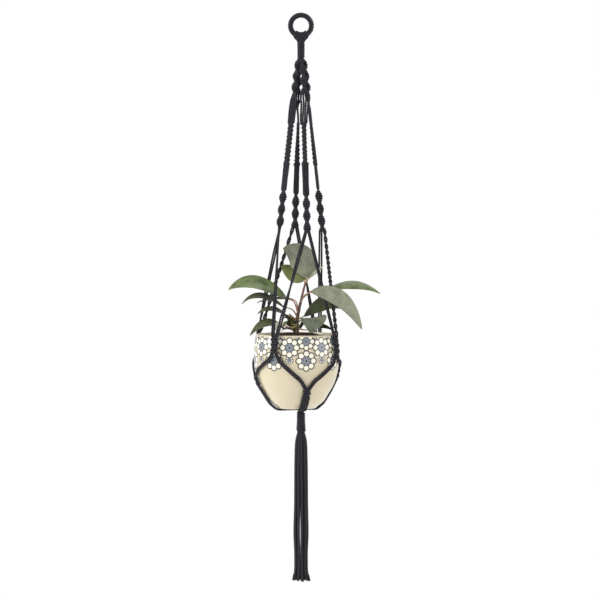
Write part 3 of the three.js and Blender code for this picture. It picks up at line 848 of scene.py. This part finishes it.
def sinnet_turn(sinnet, z):
    """How far the band's width is turned from +X at a height, in degrees."""
    if z >= CROWN_BOTTOM_Z:
        return crown_turn(sinnet, z)
    if z < sinnet["top"]:
        return spiral_turn(sinnet, z)
    start = crown_turn(sinnet, CROWN_BOTTOM_Z)
    above = same_lie(sinnet["lies"][0], start)
    knotted = same_lie(sinnet["lies"][1], above)
    below = same_lie(sinnet["lies"][2], knotted)
    finish = same_lie(spiral_turn(sinnet, sinnet["top"]), below)
    turn = lerp(start, above, smooth((CROWN_BOTTOM_Z - z) / SETTLING_LENGTH))
    turn = lerp(turn, knotted, smooth((KNOT_TOP_Z - z) / (KNOT_TOP_Z - KNOT_BOTTOM_Z)))
    turn = lerp(turn, below, smooth((KNOT_BOTTOM_Z + PINCH_LENGTH / 2 - z) / PINCH_LENGTH))
    return lerp(turn, finish, smooth((sinnet["top"] + PINCH_LENGTH - z) / PINCH_LENGTH))


# The four cords of a sinnet by their place across it: two outer ones, which tie, and two cores
PLACES = (-1.5, -0.5, 0.5, 1.5)
HALF_KNOT_LENGTH = 4.4
CROWN_DEPTH = 1.2
SPIRAL_DEPTH = 1.9
CROWN_REACH = 5.4
SPIRAL_REACH = 5.6
SQUARE_HALF_KNOTS = 20
SQUARE_DEPTH = 1.3
SQUARE_REACH = {"front": 3.1, "right": 3.9, "back": 3.7, "left": 4.6}
TIE_EASE = 3.0


def plain_offset(place):
    return place * 2 * CORD_RADIUS, 0.0


def half_knot_offset(place, phase, reach, depth):
    """Cords of a half-knot spiral: the outer two wind round the two cores, half a turn each knot."""
    if abs(place) < 1:
        return place * 3.2, 0.0
    side = math.copysign(1, place)
    return side * reach * math.cos(phase), side * depth * math.sin(phase)


def square_knot_offset(place, phase, reach, depth):
    """Cords of a square-knot band: one outer cord crosses in front each time and one behind. The
    front one stands further out, so each edge has one bump a knot."""
    if abs(place) < 1:
        return place * 2.7, 0.0
    side = math.copysign(1, place)
    further = 1.12 if side > 0 else 0.8
    lift = 1.3 * abs(math.sin(phase)) - 0.3
    return side * reach * further * math.cos(phase), side * depth * lift


def knot_phase(z, top, bottom, knots):
    return math.pi * knots * (top - z) / (top - bottom)


def even_knots(length):
    return 2 * max(1, round(length / HALF_KNOT_LENGTH / 2))


def sinnet_offset(sinnet, place, z):
    """Where a cord lies in its sinnet at a height: across the band, and square to it."""
    plain = np.array(plain_offset(place))
    squeeze = min(1.0, (sinnet_radius(z) - 1.0) / 7.2)
    if z > CROWN_BOTTOM_Z:
        knots = even_knots(NECK_BOTTOM_Z - CROWN_BOTTOM_Z)
        phase = knot_phase(z, NECK_BOTTOM_Z, CROWN_BOTTOM_Z, knots)
        tied = half_knot_offset(place, phase, CROWN_REACH, CROWN_DEPTH)
        share = smooth((z - CROWN_BOTTOM_Z) / TIE_EASE)
    elif KNOT_BOTTOM_Z < z < KNOT_TOP_Z:
        phase = knot_phase(z, KNOT_TOP_Z, KNOT_BOTTOM_Z, SQUARE_HALF_KNOTS)
        loose = 1 - smooth((KNOT_TOP_Z - z - 4) / 4)
        reach = SQUARE_REACH[sinnet["name"]] + 2.4 * loose * (sinnet["name"] == "front")
        tied = square_knot_offset(place, phase, reach, SQUARE_DEPTH)
        share = smooth(min(KNOT_TOP_Z - z, z - KNOT_BOTTOM_Z) / TIE_EASE)
    elif z < sinnet["top"]:
        knots = even_knots(sinnet["top"] - sinnet["bottom"])
        phase = knot_phase(z, sinnet["top"], sinnet["bottom"], knots)
        loose = smooth((sinnet["bottom"] + 12 - z) / 8) * (sinnet["name"] == "right")
        tied = half_knot_offset(place, phase, SPIRAL_REACH * (1 + 0.25 * loose), SPIRAL_DEPTH)
        share = smooth(min(sinnet["top"] - z, z - sinnet["bottom"]) / TIE_EASE)
    else:
        tied = plain
        share = 0.0
        slack = math.exp(-(((z - CROWN_BOTTOM_Z + 9) / 6) ** 2))
        squeeze *= 1 + 0.05 * math.sin(0.11 * z + place * 2 + sinnet["azimuth"]) + 0.3 * slack
    return (plain + (np.array(tied) - plain) * share) * squeeze


def sinnet_cord(sinnet, place, top, bottom):
    path = []
    for z in np.arange(top, bottom - 0.01, -0.25):
        centre = around(sinnet_bearing(sinnet, z), sinnet_radius(z), z)
        turn = math.radians(sinnet_turn(sinnet, z))
        across = vec(math.cos(turn), math.sin(turn), 0)
        square = vec(-math.sin(turn), math.cos(turn), 0)
        x, y = sinnet_offset(sinnet, place, z)
        point = centre + across * x + square * y
        drawn_in = lerp(0.45, 1.0, smooth((NECK_BOTTOM_Z + 4 - z) / 8))
        path.append(point * vec(drawn_in, drawn_in, 1))
    return evenly(np.array(path), 1.0)


def make_sinnets():
    for sinnet in SINNETS:
        stretches = [
            ("crown_spiral", NECK_BOTTOM_Z + 3, CROWN_BOTTOM_Z),
            ("strap", CROWN_BOTTOM_Z + 0.5, sinnet["top"]),
            ("spiral", sinnet["top"] + 0.5, sinnet["bottom"] - 1),
        ]
        for kind, top, bottom in stretches:
            shape = Shape()
            for place in PLACES:
                add_strand(shape, sinnet_cord(sinnet, place, top, bottom))
            node = f"{kind}_{sinnet['name']}"
            shape.make(f"{node}_cords", [CORD], "hanger", [node])


# ---- Cradle ----


def pot_radius(z):
    return profile([(h, r) for r, h in POT_OUTLINE], z - POT_BOTTOM_Z)


def on_pot(bearing, z, offset):
    """A point that stands off the pot's surface, square to it, beside a height on it."""
    slope = (pot_radius(z + 2) - pot_radius(z - 2)) / 4
    out = 1 / math.hypot(1, slope)
    return around(bearing, pot_radius(z) + offset * out, z - offset * slope * out, POT_X)


def bearing_out(bearing):
    return around(bearing, 1, 0)


def bearing_across(bearing):
    return around(bearing + 90, 1, 0)


def knot_end(knot, place, z, offset):
    """Where one of a knot's four cords enters or leaves it."""
    return on_pot(knot["azimuth"], z, offset) + bearing_across(knot["azimuth"]) * place * 2 * CORD_RADIUS


def knot_strands(shape, knot, offset, knots):
    """The four cords of a short square-knot band that lies against the pot."""
    across = bearing_across(knot["azimuth"])
    out = bearing_out(knot["azimuth"])
    for place in PLACES:
        path = []
        for z in np.arange(knot["top"], knot["bottom"] - 0.01, -0.8):
            phase = knot_phase(z, knot["top"], knot["bottom"], knots)
            plain = np.array(plain_offset(place))
            tied = np.array(square_knot_offset(place, phase, knot["reach"], 2.1))
            share = smooth(min(knot["top"] - z, z - knot["bottom"]) / 3)
            x, y = plain + (tied - plain) * share
            path.append(on_pot(knot["azimuth"], z, offset) + across * x + out * y)
        add_strand(shape, evenly(np.array(path), 1.2))


# Turns of a leg's two cords round each other
LEG_TURNS = {
    ("right", "front_right"): 10,
    ("back", "back_left"): 7,
    ("left", "back_left"): 1,
    ("front", "front_left"): 1,
}


def make_leg(sinnet, knot, side):
    """Two cords from the foot of a sinnet to the top of a side knot."""
    z = sinnet["bottom"]
    turn = math.radians(sinnet_turn(sinnet, z))
    along = vec(math.cos(turn), math.sin(turn), 0)
    start = around(sinnet["azimuth"], sinnet_radius(z), z)
    finish = on_pot(knot["azimuth"], knot["top"], KNOT_OFFSET)
    across = bearing_across(knot["azimuth"])
    finish = finish + across * side * 2 * CORD_RADIUS
    if np.dot(along, finish - start) < 0:
        along = -along
    start = start + along * 2 * CORD_RADIUS
    axis = unit(finish - start)
    turns = LEG_TURNS.get((sinnet["name"], knot["name"]), 0)
    shape = Shape()
    for half in (-0.5, 0.5):
        path = []
        for t in np.linspace(0, 1, 150):
            way = unit(lerp(along, across, t))
            square = np.cross(axis, way)
            wind = 2 * math.pi * turns * lerp(t, smooth(t), 0.5)
            offset = way * math.cos(wind) + square * math.sin(wind)
            bow = 1 + 0.25 * math.sin(math.pi * t) * (turns == 0)
            path.append(lerp(start, finish, t) + offset * half * 2 * CORD_RADIUS * bow)
        add_strand(shape, evenly(np.array(path), CORD_STEP))
    node = f"leg_{sinnet['name']}_{knot['name']}"
    shape.make(f"{node}_cords", [CORD], "hanger", [node])


def make_cradle_cord(upper, lower, side):
    """Two cords from a side knot down across the pot to a lower knot."""
    start = upper["azimuth"]
    finish = start + side * 45
    shape = Shape()
    for half in (-0.5, 0.5):
        upper_place = side + half
        lower_place = -side + half
        points = [knot_end(upper, upper_place, upper["bottom"], KNOT_OFFSET)]
        for t in (0.16, 0.32, 0.5, 0.68, 0.84):
            bearing = lerp(start + side * 2.6, finish - side * 3.2, t**1.14)
            z = lerp(upper["bottom"] - 4.2, lower["top"] + 5.5, t**0.93)
            lift = lerp(KNOT_OFFSET - 0.6, CORD_OFFSET, smooth(t * 2))
            point = on_pot(bearing, z, lift)
            downhill = unit(on_pot(bearing + side * 2, z - 2.2, lift) - point)
            beside = np.cross(downhill, bearing_out(bearing))
            beside *= math.copysign(1, np.dot(beside, bearing_across(bearing)))
            points.append(point + beside * half * 2 * CORD_RADIUS)
        points.append(knot_end(lower, lower_place, lower["top"], KNOT_OFFSET - 0.8))
        add_strand(shape, spline(points, CORD_STEP))
    name = f"{upper['name']}_{lower['name']}"
    shape.make(f"cradle_{name}_cords", [CORD], "hanger", [f"cradle_cord_{name}"])


def make_base_band(knot):
    """A lower knot and its four cords, down round the pot's foot and in under its base."""
    azimuth = knot["azimuth"]
    under = POT_BOTTOM_Z - CORD_RADIUS - 0.2
    foot = pot_radius(POT_BOTTOM_Z) + CORD_RADIUS
    shape = Shape()
    knot_strands(shape, knot, KNOT_OFFSET - 0.8, 4)
    for place in PLACES:
        path = [
            on_pot(azimuth, knot["bottom"], KNOT_OFFSET - 0.8),
            on_pot(azimuth, (knot["bottom"] + POT_BOTTOM_Z + 10) / 2, CORD_OFFSET),
            on_pot(azimuth, POT_BOTTOM_Z + 12, CORD_OFFSET),
            on_pot(azimuth, POT_BOTTOM_Z + 6, CORD_OFFSET + 0.4),
            around(azimuth, foot + 2.2, POT_BOTTOM_Z - 0.6, POT_X),
            around(azimuth, foot - 3, under, POT_X),
        ]
        gather = around(azimuth, 10, under)
        path.append(lerp(path[-1], gather, 0.5))
        path.append(gather)
        shares = [1, 1, 1, 1, 1, 0.95, 0.75, 0.55]
        points = [p + bearing_across(azimuth) * place * 2 * CORD_RADIUS * s for p, s in zip(path, shares)]
        points.append(around(azimuth, 5.2, under - 0.8) + bearing_across(azimuth) * place * 1.4)
        points.append(around(azimuth, 3.6, under - 5) + bearing_across(azimuth) * place * 1.2)
        add_strand(shape, spline(points, CORD_STEP))
    node = f"base_band_{knot['name']}"
    shape.make(f"{node}_cords", [CORD], "hanger", [node])


def make_cradle():
    for knot in SIDE_KNOTS:
        shape = Shape()
        knot_strands(shape, knot, KNOT_OFFSET, 6)
        node = f"side_knot_{knot['name']}"
        shape.make(f"{node}_cords", [CORD], "hanger", [node])
    for i, sinnet in enumerate(SINNETS):
        make_leg(sinnet, SIDE_KNOTS[i], 1)
        make_leg(sinnet, SIDE_KNOTS[(i + 1) % 4], -1)
    for i, knot in enumerate(SIDE_KNOTS):
        make_cradle_cord(knot, LOWER_KNOTS[i], 1)
        make_cradle_cord(knot, LOWER_KNOTS[(i + 3) % 4], -1)
    for knot in LOWER_KNOTS:
        make_base_band(knot)


def make_base_wrap():
    wrap = Shape()
    radii = [(BASE_BOTTOM_Z, 9.4), (BASE_BOTTOM_Z + 10, 8.7), (BASE_BOTTOM_Z + 22, 8.1), (BASE_TOP_Z, 8.0)]
    add_strand(wrap, coil_path(BASE_TOP_Z - 6, BASE_BOTTOM_Z + 1.7, radii, CORD_RADIUS), lay=12)
    for k in range(9):
        foot = around(40 * k, 5.6, BASE_BOTTOM_Z + 0.3)
        head = around(40 * k, 4.2, BASE_TOP_Z - 3.5)
        add_strand(wrap, evenly(np.array([head, foot]), 3))
    wrap.make("base_gathering_wrap", [CORD], "base", ["base_wrap"])


# ---- Pot and soil ----


def make_pot():
    outer = spline([vec(r, 0, h) for r, h in POT_OUTLINE[1:]], 2.5)
    lip = [(75.6, -1.2), (75.0, -0.3), (74.1, 0), (73.1, 0), (72.2, -0.4), (71.6, -1.4)]
    lip = [(radius, POT_HEIGHT + below) for radius, below in lip]
    inner = [(p[0] - POT_WALL, p[2]) for p in outer[::-1] if p[2] > 12 and p[2] < POT_HEIGHT - 4]
    outline = [(0.01, 1.2), (28, 1.2), (30, 0.1), (34.4, 0), (36.4, 0.9)]
    outline += [(p[0], p[2]) for p in outer] + lip + inner + [(36, POT_WALL + 1.5), (0.01, POT_WALL + 1)]
    shape = Shape()
    add_lathe(shape, [(r, POT_BOTTOM_Z + h) for r, h in outline], POT_X, 120)
    shape.make("flowered_pot", [GLAZE], "pot", ["pot"])


def soil_height(x, y):
    """The potting mix's surface: highest round the stem, and lumpy."""
    radius = math.hypot(x - POT_X, y)
    mound = profile([(0, 1.5), (34, -0.5), (60, -6.5), (71, -11.5)], radius)
    lumps = 0.7 * math.sin(0.31 * x + 1) * math.cos(0.27 * y) + 0.45 * math.sin(0.83 * x - 0.6 * y)
    return POT_TOP_Z + mound + lumps


SOIL_RADIUS = 70.6
CRUMBS = 420


def make_soil():
    shape = Shape()
    rings = 22
    segments = 84
    vertices = [vec(POT_X, 0, soil_height(POT_X, 0))]
    for i in range(1, rings + 1):
        for j in range(segments):
            p = around(360 * j / segments, SOIL_RADIUS * i / rings, 0, POT_X)
            p[2] = soil_height(p[0], p[1]) + rng.uniform(-0.35, 0.35)
            vertices.append(p)
    faces = [[0, 1 + j, 1 + (j + 1) % segments] for j in range(segments)]
    for i in range(rings - 1):
        for j in range(segments):
            k = (j + 1) % segments
            a = 1 + i * segments
            faces.append([a + j, a + segments + j, a + segments + k, a + k])
    edge = 1 + (rings - 1) * segments
    floor = len(vertices)
    vertices += [around(360 * j / segments, 66, POT_TOP_Z - 30, POT_X) for j in range(segments)]
    for j in range(segments):
        k = (j + 1) % segments
        faces.append([edge + j, floor + j, floor + k, edge + k])
    faces.append([floor + j for j in range(segments)][::-1])
    shape.add(vertices, faces, [(0, 0)] * len(vertices))
    for _ in range(CRUMBS):
        place = around(rng.uniform(0, 360), 69 * math.sqrt(rng.random()), 0, POT_X)
        place[2] = soil_height(place[0], place[1]) + 0.3
        add_crumb(shape, place, rng.uniform(0.7, 2.1))
    shape.make("potting_mix_surface", [SOIL], "pot", ["soil"])


def add_crumb(shape, centre, size):
    """One uneven crumb of bark or peat."""
    vertices = []
    for z, ring in ((-0.7, 0.6), (0.1, 1.0), (0.7, 0.55)):
        for j in range(6):
            angle = math.pi * j / 3 + z
            reach = size * ring * rng.uniform(0.75, 1.2)
            vertices.append(centre + vec(math.cos(angle) * reach, math.sin(angle) * reach, z * size * 0.7))
    faces = tube_faces(3, 6)
    faces += [[5, 4, 3, 2, 1, 0], [12, 13, 14, 15, 16, 17]]
    shape.add(vertices, faces, [(0, 0)] * len(vertices))


# ---- Plant ----

def leaf(base, arch, tip, width, across, towards, away=None):
    """A leaf runs from its base through an arch to its tip; across is the way its width lies. towards
    is the material of the side its normal faces, and away that of the other side."""
    return {
        "base": base,
        "arch": arch,
        "tip": tip,
        "width": width,
        "across": across,
        "faces": [towards, away or towards],
    }


SIDEWAYS = (0, -0.9, -0.4)
LEAVES = {
    "top": leaf((10, 2, -477), (13, 16, -430), (-33, 8, -421), 51, (0.9, 0.1, 0.35), LEAF_TOP, LEAF_UNDER),
    "top_lower": leaf((6, 8, -481), (-12, 26, -468), (-37, 22, -453), 30, (0.5, 0.2, 0.8), LEAF_OLIVE),
    "young": leaf((17, -7, -474), (28, -5, -464), (41, 2, -453), 6, (-0.55, 0.2, 0.75), LEAF_PALE),
    "left_big": leaf((-26, -12, -515), (-87, -12, -464), (-133, -14, -497), 47, (0, -0.85, -0.5), LEAF_TOP),
    "left_second": leaf((-30, -18, -530), (-80, -16, -490), (-108, -18, -523), 24, SIDEWAYS, LEAF_DARK),
    "left_third": leaf((-28, -2, -544), (-58, 2, -522), (-80, 4, -542), 20, SIDEWAYS, LEAF_DARK),
    "left_low": leaf(
        (-29, -18, -570), (-62, -26, -540), (-93, -34, -580), 30, (0.2, -0.85, -0.4), LEAF_DARK
    ),
    "left_drop": leaf((-38, -38, -556), (-42, -50, -552), (-43, -59, -575), 14, (1, -0.2, 0.1), LEAF_PALE),
    "right_arch": leaf((45, 14, -499), (104, 16, -472), (146, 14, -505), 35, SIDEWAYS, LEAF_TOP),
    "right_broad": leaf(
        (18, -52, -500), (80, -60, -490), (110, -70, -567), 32, (0.35, -0.3, 0.88), LEAF_UNDER
    ),
    "right_dark": leaf((5, -12, -546), (45, 7, -502), (79, 10, -533), 35, (0, -0.6, 0.8), LEAF_DARK),
    "front_mid": leaf((22, -40, -548), (26, -62, -540), (17, -74, -573), 48, (1, 0, 0.15), LEAF_GREY),
    "right_low": leaf((12, -12, -571), (36, -18, -552), (58, -20, -571), 18, (0, -0.8, 0.5), LEAF_DARK),
    "small_front": leaf(
        (-16, -17, -561), (-31, -23, -530), (-39, -26, -552), 14, (0.3, -0.8, 0.2), LEAF_DARK
    ),
    "small_back": leaf((-15, 2, -567), (-25, 3, -544), (-34, 0, -569), 15, (0.6, -0.6, 0.2), LEAF_OLIVE),
}
# Small leaves of the tuft beside the stem's foot, modelled here only
TUFT = {
    "slim": leaf((-12, 4, -516), (-46, 2, -508), (-81, 0, -521), 11, SIDEWAYS, LEAF_DARK),
    "one": leaf((-10, -4, -566), (-20, -6, -544), (-33, -8, -549), 11, (0.2, -0.8, 0.4), LEAF_DARK),
    "two": leaf((-11, 2, -570), (-14, 2, -551), (-22, 0, -541), 9, (0.7, -0.5, 0.2), LEAF_OLIVE),
    "three": leaf((-13, -6, -573), (-28, -9, -562), (-36, -12, -573), 11, (0.1, -0.9, 0.4), LEAF_DARK),
    "four": leaf((-11, 8, -570), (-25, 12, -556), (-31, 14, -560), 13, (0.4, -0.7, 0.5), LEAF_DARK),
    "five": leaf((-12, 1, -574), (-17, -2, -564), (-24, -7, -567), 10, (0.6, -0.6, 0.5), LEAF_OLIVE),
    "six": leaf((-4, 6, -571), (3, 9, -556), (8, 12, -552), 9, (0.8, -0.5, 0.1), LEAF_DARK),
    "seven": leaf((-14, 12, -572), (-20, 17, -553), (-26, 19, -545), 10, (0.8, -0.4, 0.2), LEAF_DARK),
    "eight": leaf((-9, -8, -572), (-14, -13, -562), (-16, -19, -570), 9, (0.8, -0.2, 0.4), LEAF_OLIVE),
}
LEAF_THICKNESS = 1.1
LEAF_STEPS = 28
LEAF_COLUMNS = 14


def bezier(shape_of, t):
    """A leaf's midrib: the point and the way along it at a share of its length."""
    base, arch, tip = (np.array(shape_of[key], float) for key in ("base", "arch", "tip"))
    point = base * (1 - t) ** 2 + arch * 2 * t * (1 - t) + tip * t * t
    tangent = unit(2 * (1 - t) * (arch - base) + 2 * t * (tip - arch))
    return point, tangent


def make_leaf(name, shape_of, replaces):
    """A closed blade: two faces with a folded midrib, a waved margin and a pointed tip."""
    across = unit(np.array(shape_of["across"], float))
    wave = rng.uniform(0, 6)
    shape = Shape()
    for layer in (1, -1):
        vertices = []
        uvs = []
        for i in range(LEAF_STEPS + 1):
            t = i / LEAF_STEPS
            point, tangent = bezier(shape_of, t)
            side = unit(across - tangent * np.dot(across, tangent))
            normal = np.cross(tangent, side)
            outline = math.sin(math.pi * t**0.85) ** 0.75 if 0 < t < 1 else 0
            half = 0.35 + (shape_of["width"] * 0.5 - 0.35) * outline
            for j in range(LEAF_COLUMNS + 1):
                reach = j / LEAF_COLUMNS * 2 - 1
                cup = 0.12 * half * reach * reach
                ripple = 0.022 * half * math.sin(wave + 9 * t + reach) * reach * reach
                groove = -0.35 * math.exp(-((reach / 0.08) ** 2)) * outline
                thick = layer * LEAF_THICKNESS * 0.5 * (1 - 0.75 * abs(reach) ** 3)
                vertices.append(point + side * reach * half + normal * (cup + ripple + groove + thick))
                uvs.append((reach * 0.5 + 0.5, t))
        faces = []
        columns = LEAF_COLUMNS + 1
        for i in range(LEAF_STEPS):
            for j in range(LEAF_COLUMNS):
                a = i * columns + j
                face = [a, a + columns, a + columns + 1, a + 1]
                faces.append(face[::-1] if layer > 0 else face)
        shape.add(vertices, faces, uvs, 0 if layer > 0 else 1)
    close_leaf_edge(shape)
    shape.make(f"leaf_{name}_blade", shape_of["faces"], "pot", replaces)


def close_leaf_edge(shape):
    """Joins the two faces of a blade all round their margin."""
    columns = LEAF_COLUMNS + 1
    count = (LEAF_STEPS + 1) * columns
    right = [i * columns + LEAF_COLUMNS for i in range(LEAF_STEPS + 1)]
    left = [i * columns for i in range(LEAF_STEPS + 1)]
    tip = [LEAF_STEPS * columns + j for j in range(columns)]
    base = list(range(columns))
    for edge, flip in ((right, False), (left, True), (tip, True), (base, False)):
        for a, b in zip(edge, edge[1:]):
            face = [a, b, count + b, count + a]
            shape.faces.append(face[::-1] if flip else face)
            shape.uvs.append([(0.5, 0.5)] * 4)
            shape.slots.append(0)
            shape.flat.append(False)


# Where each stalk leaves the stem, and a point that it bends through on its way to its leaf
STALKS = {
    "left_big": ((-5.4, -2.8, -541), (-13, -8, -519)),
    "left_second": ((-6, -3, -548), (-16, -12, -533)),
    "left_third": ((-6.5, -3, -556), (-15, -3, -547)),
    "left_low": ((-7.2, -3.5, -564), (-17, -9, -565)),
    "left_drop": ((-7, -3.5, -563), (-19, -30, -566)),
    "right_arch": ((0.8, 0.4, -514), (22, 9, -499)),
    "right_broad": ((-0.5, 0, -520), (7, -28, -506)),
    "right_dark": ((-6.4, -3.2, -552), (-1, -8, -549)),
    "front_mid": ((-6.7, -3.3, -556), (9, -24, -550)),
    "right_low": ((-7.3, -3.6, -567), (3, -9, -570)),
    "small_front": ((-7, -3.4, -559), (-11, -11, -561)),
    "small_back": ((-7, -3.4, -566), (-11, -1, -568)),
    "top": ((8.4, 2, -484), (9, 2, -480.5)),
    "top_lower": ((8, 2, -486), (7, 5, -483.5)),
    "young": ((8, 2, -486), (12, -3, -479)),
}
TUFT_STALKS = {
    "slim": ((-5, -2.5, -536), (-8, 2, -521)),
    "one": ((-8, -4, -577), (-9, -4, -571)),
    "two": ((-10, 1, -581), (-10.5, 2, -575)),
    "three": ((-10, -5, -581), (-11, -5.5, -577)),
    "four": ((-9, 6, -581), (-10, 8, -575)),
    "five": ((-11, 2, -581), (-11.5, 1.5, -578)),
    "six": ((-7, 3, -581), (-5, 5, -576)),
    "seven": ((-12, 9, -581), (-13, 11, -577)),
    "eight": ((-8, -6, -581), (-8.5, -7, -577)),
}
TRUNK = [(-8, -4, -579), (-7.6, -3.8, -566), (-6, -3, -545), (-1.5, 0, -524), (4, 1, -500), (8.6, 2, -483)]
TRUNK_RADIUS = 3.9


def trunk_swell(t):
    """The stem's share of its full radius: wide at the soil, with leaf scars, thin at the top."""
    scar = 0.12 * max(0.0, math.sin(46 * t)) ** 8
    return 1 + scar - 0.5 * smooth(t * 1.1) + 0.35 * smooth((0.1 - t) / 0.1)


def make_stem():
    shape = Shape()
    add_strand(shape, spline(TRUNK, 1.2), TRUNK_RADIUS, sides=20, plies=0, radii=trunk_swell)
    blades = {**LEAVES, **TUFT}
    for name, (start, bend) in {**STALKS, **TUFT_STALKS}.items():
        end, tangent = bezier(blades[name], 0.02)
        path = spline([start, bend, end, end + tangent * 1.5], 1.2)
        add_strand(shape, path, 1.7, sides=10, plies=0, radii=lambda t: 1 - 0.5 * t, slot=1)
    shape.make("plant_stem_and_stalks", [STEM, STALK], "pot", ["plant_stem"])


# ---- Build ----

make_camera()
make_tassel()
make_surroundings()
make_ring()
make_neck()
make_sinnets()
make_cradle()
make_base_wrap()
make_pot()
make_soil()
for leaf_name, leaf_shape in LEAVES.items():
    make_leaf(leaf_name, leaf_shape, [f"leaf_{leaf_name}"])
for leaf_name, leaf_shape in TUFT.items():
    make_leaf(f"tuft_{leaf_name}", leaf_shape, [])
make_stem()
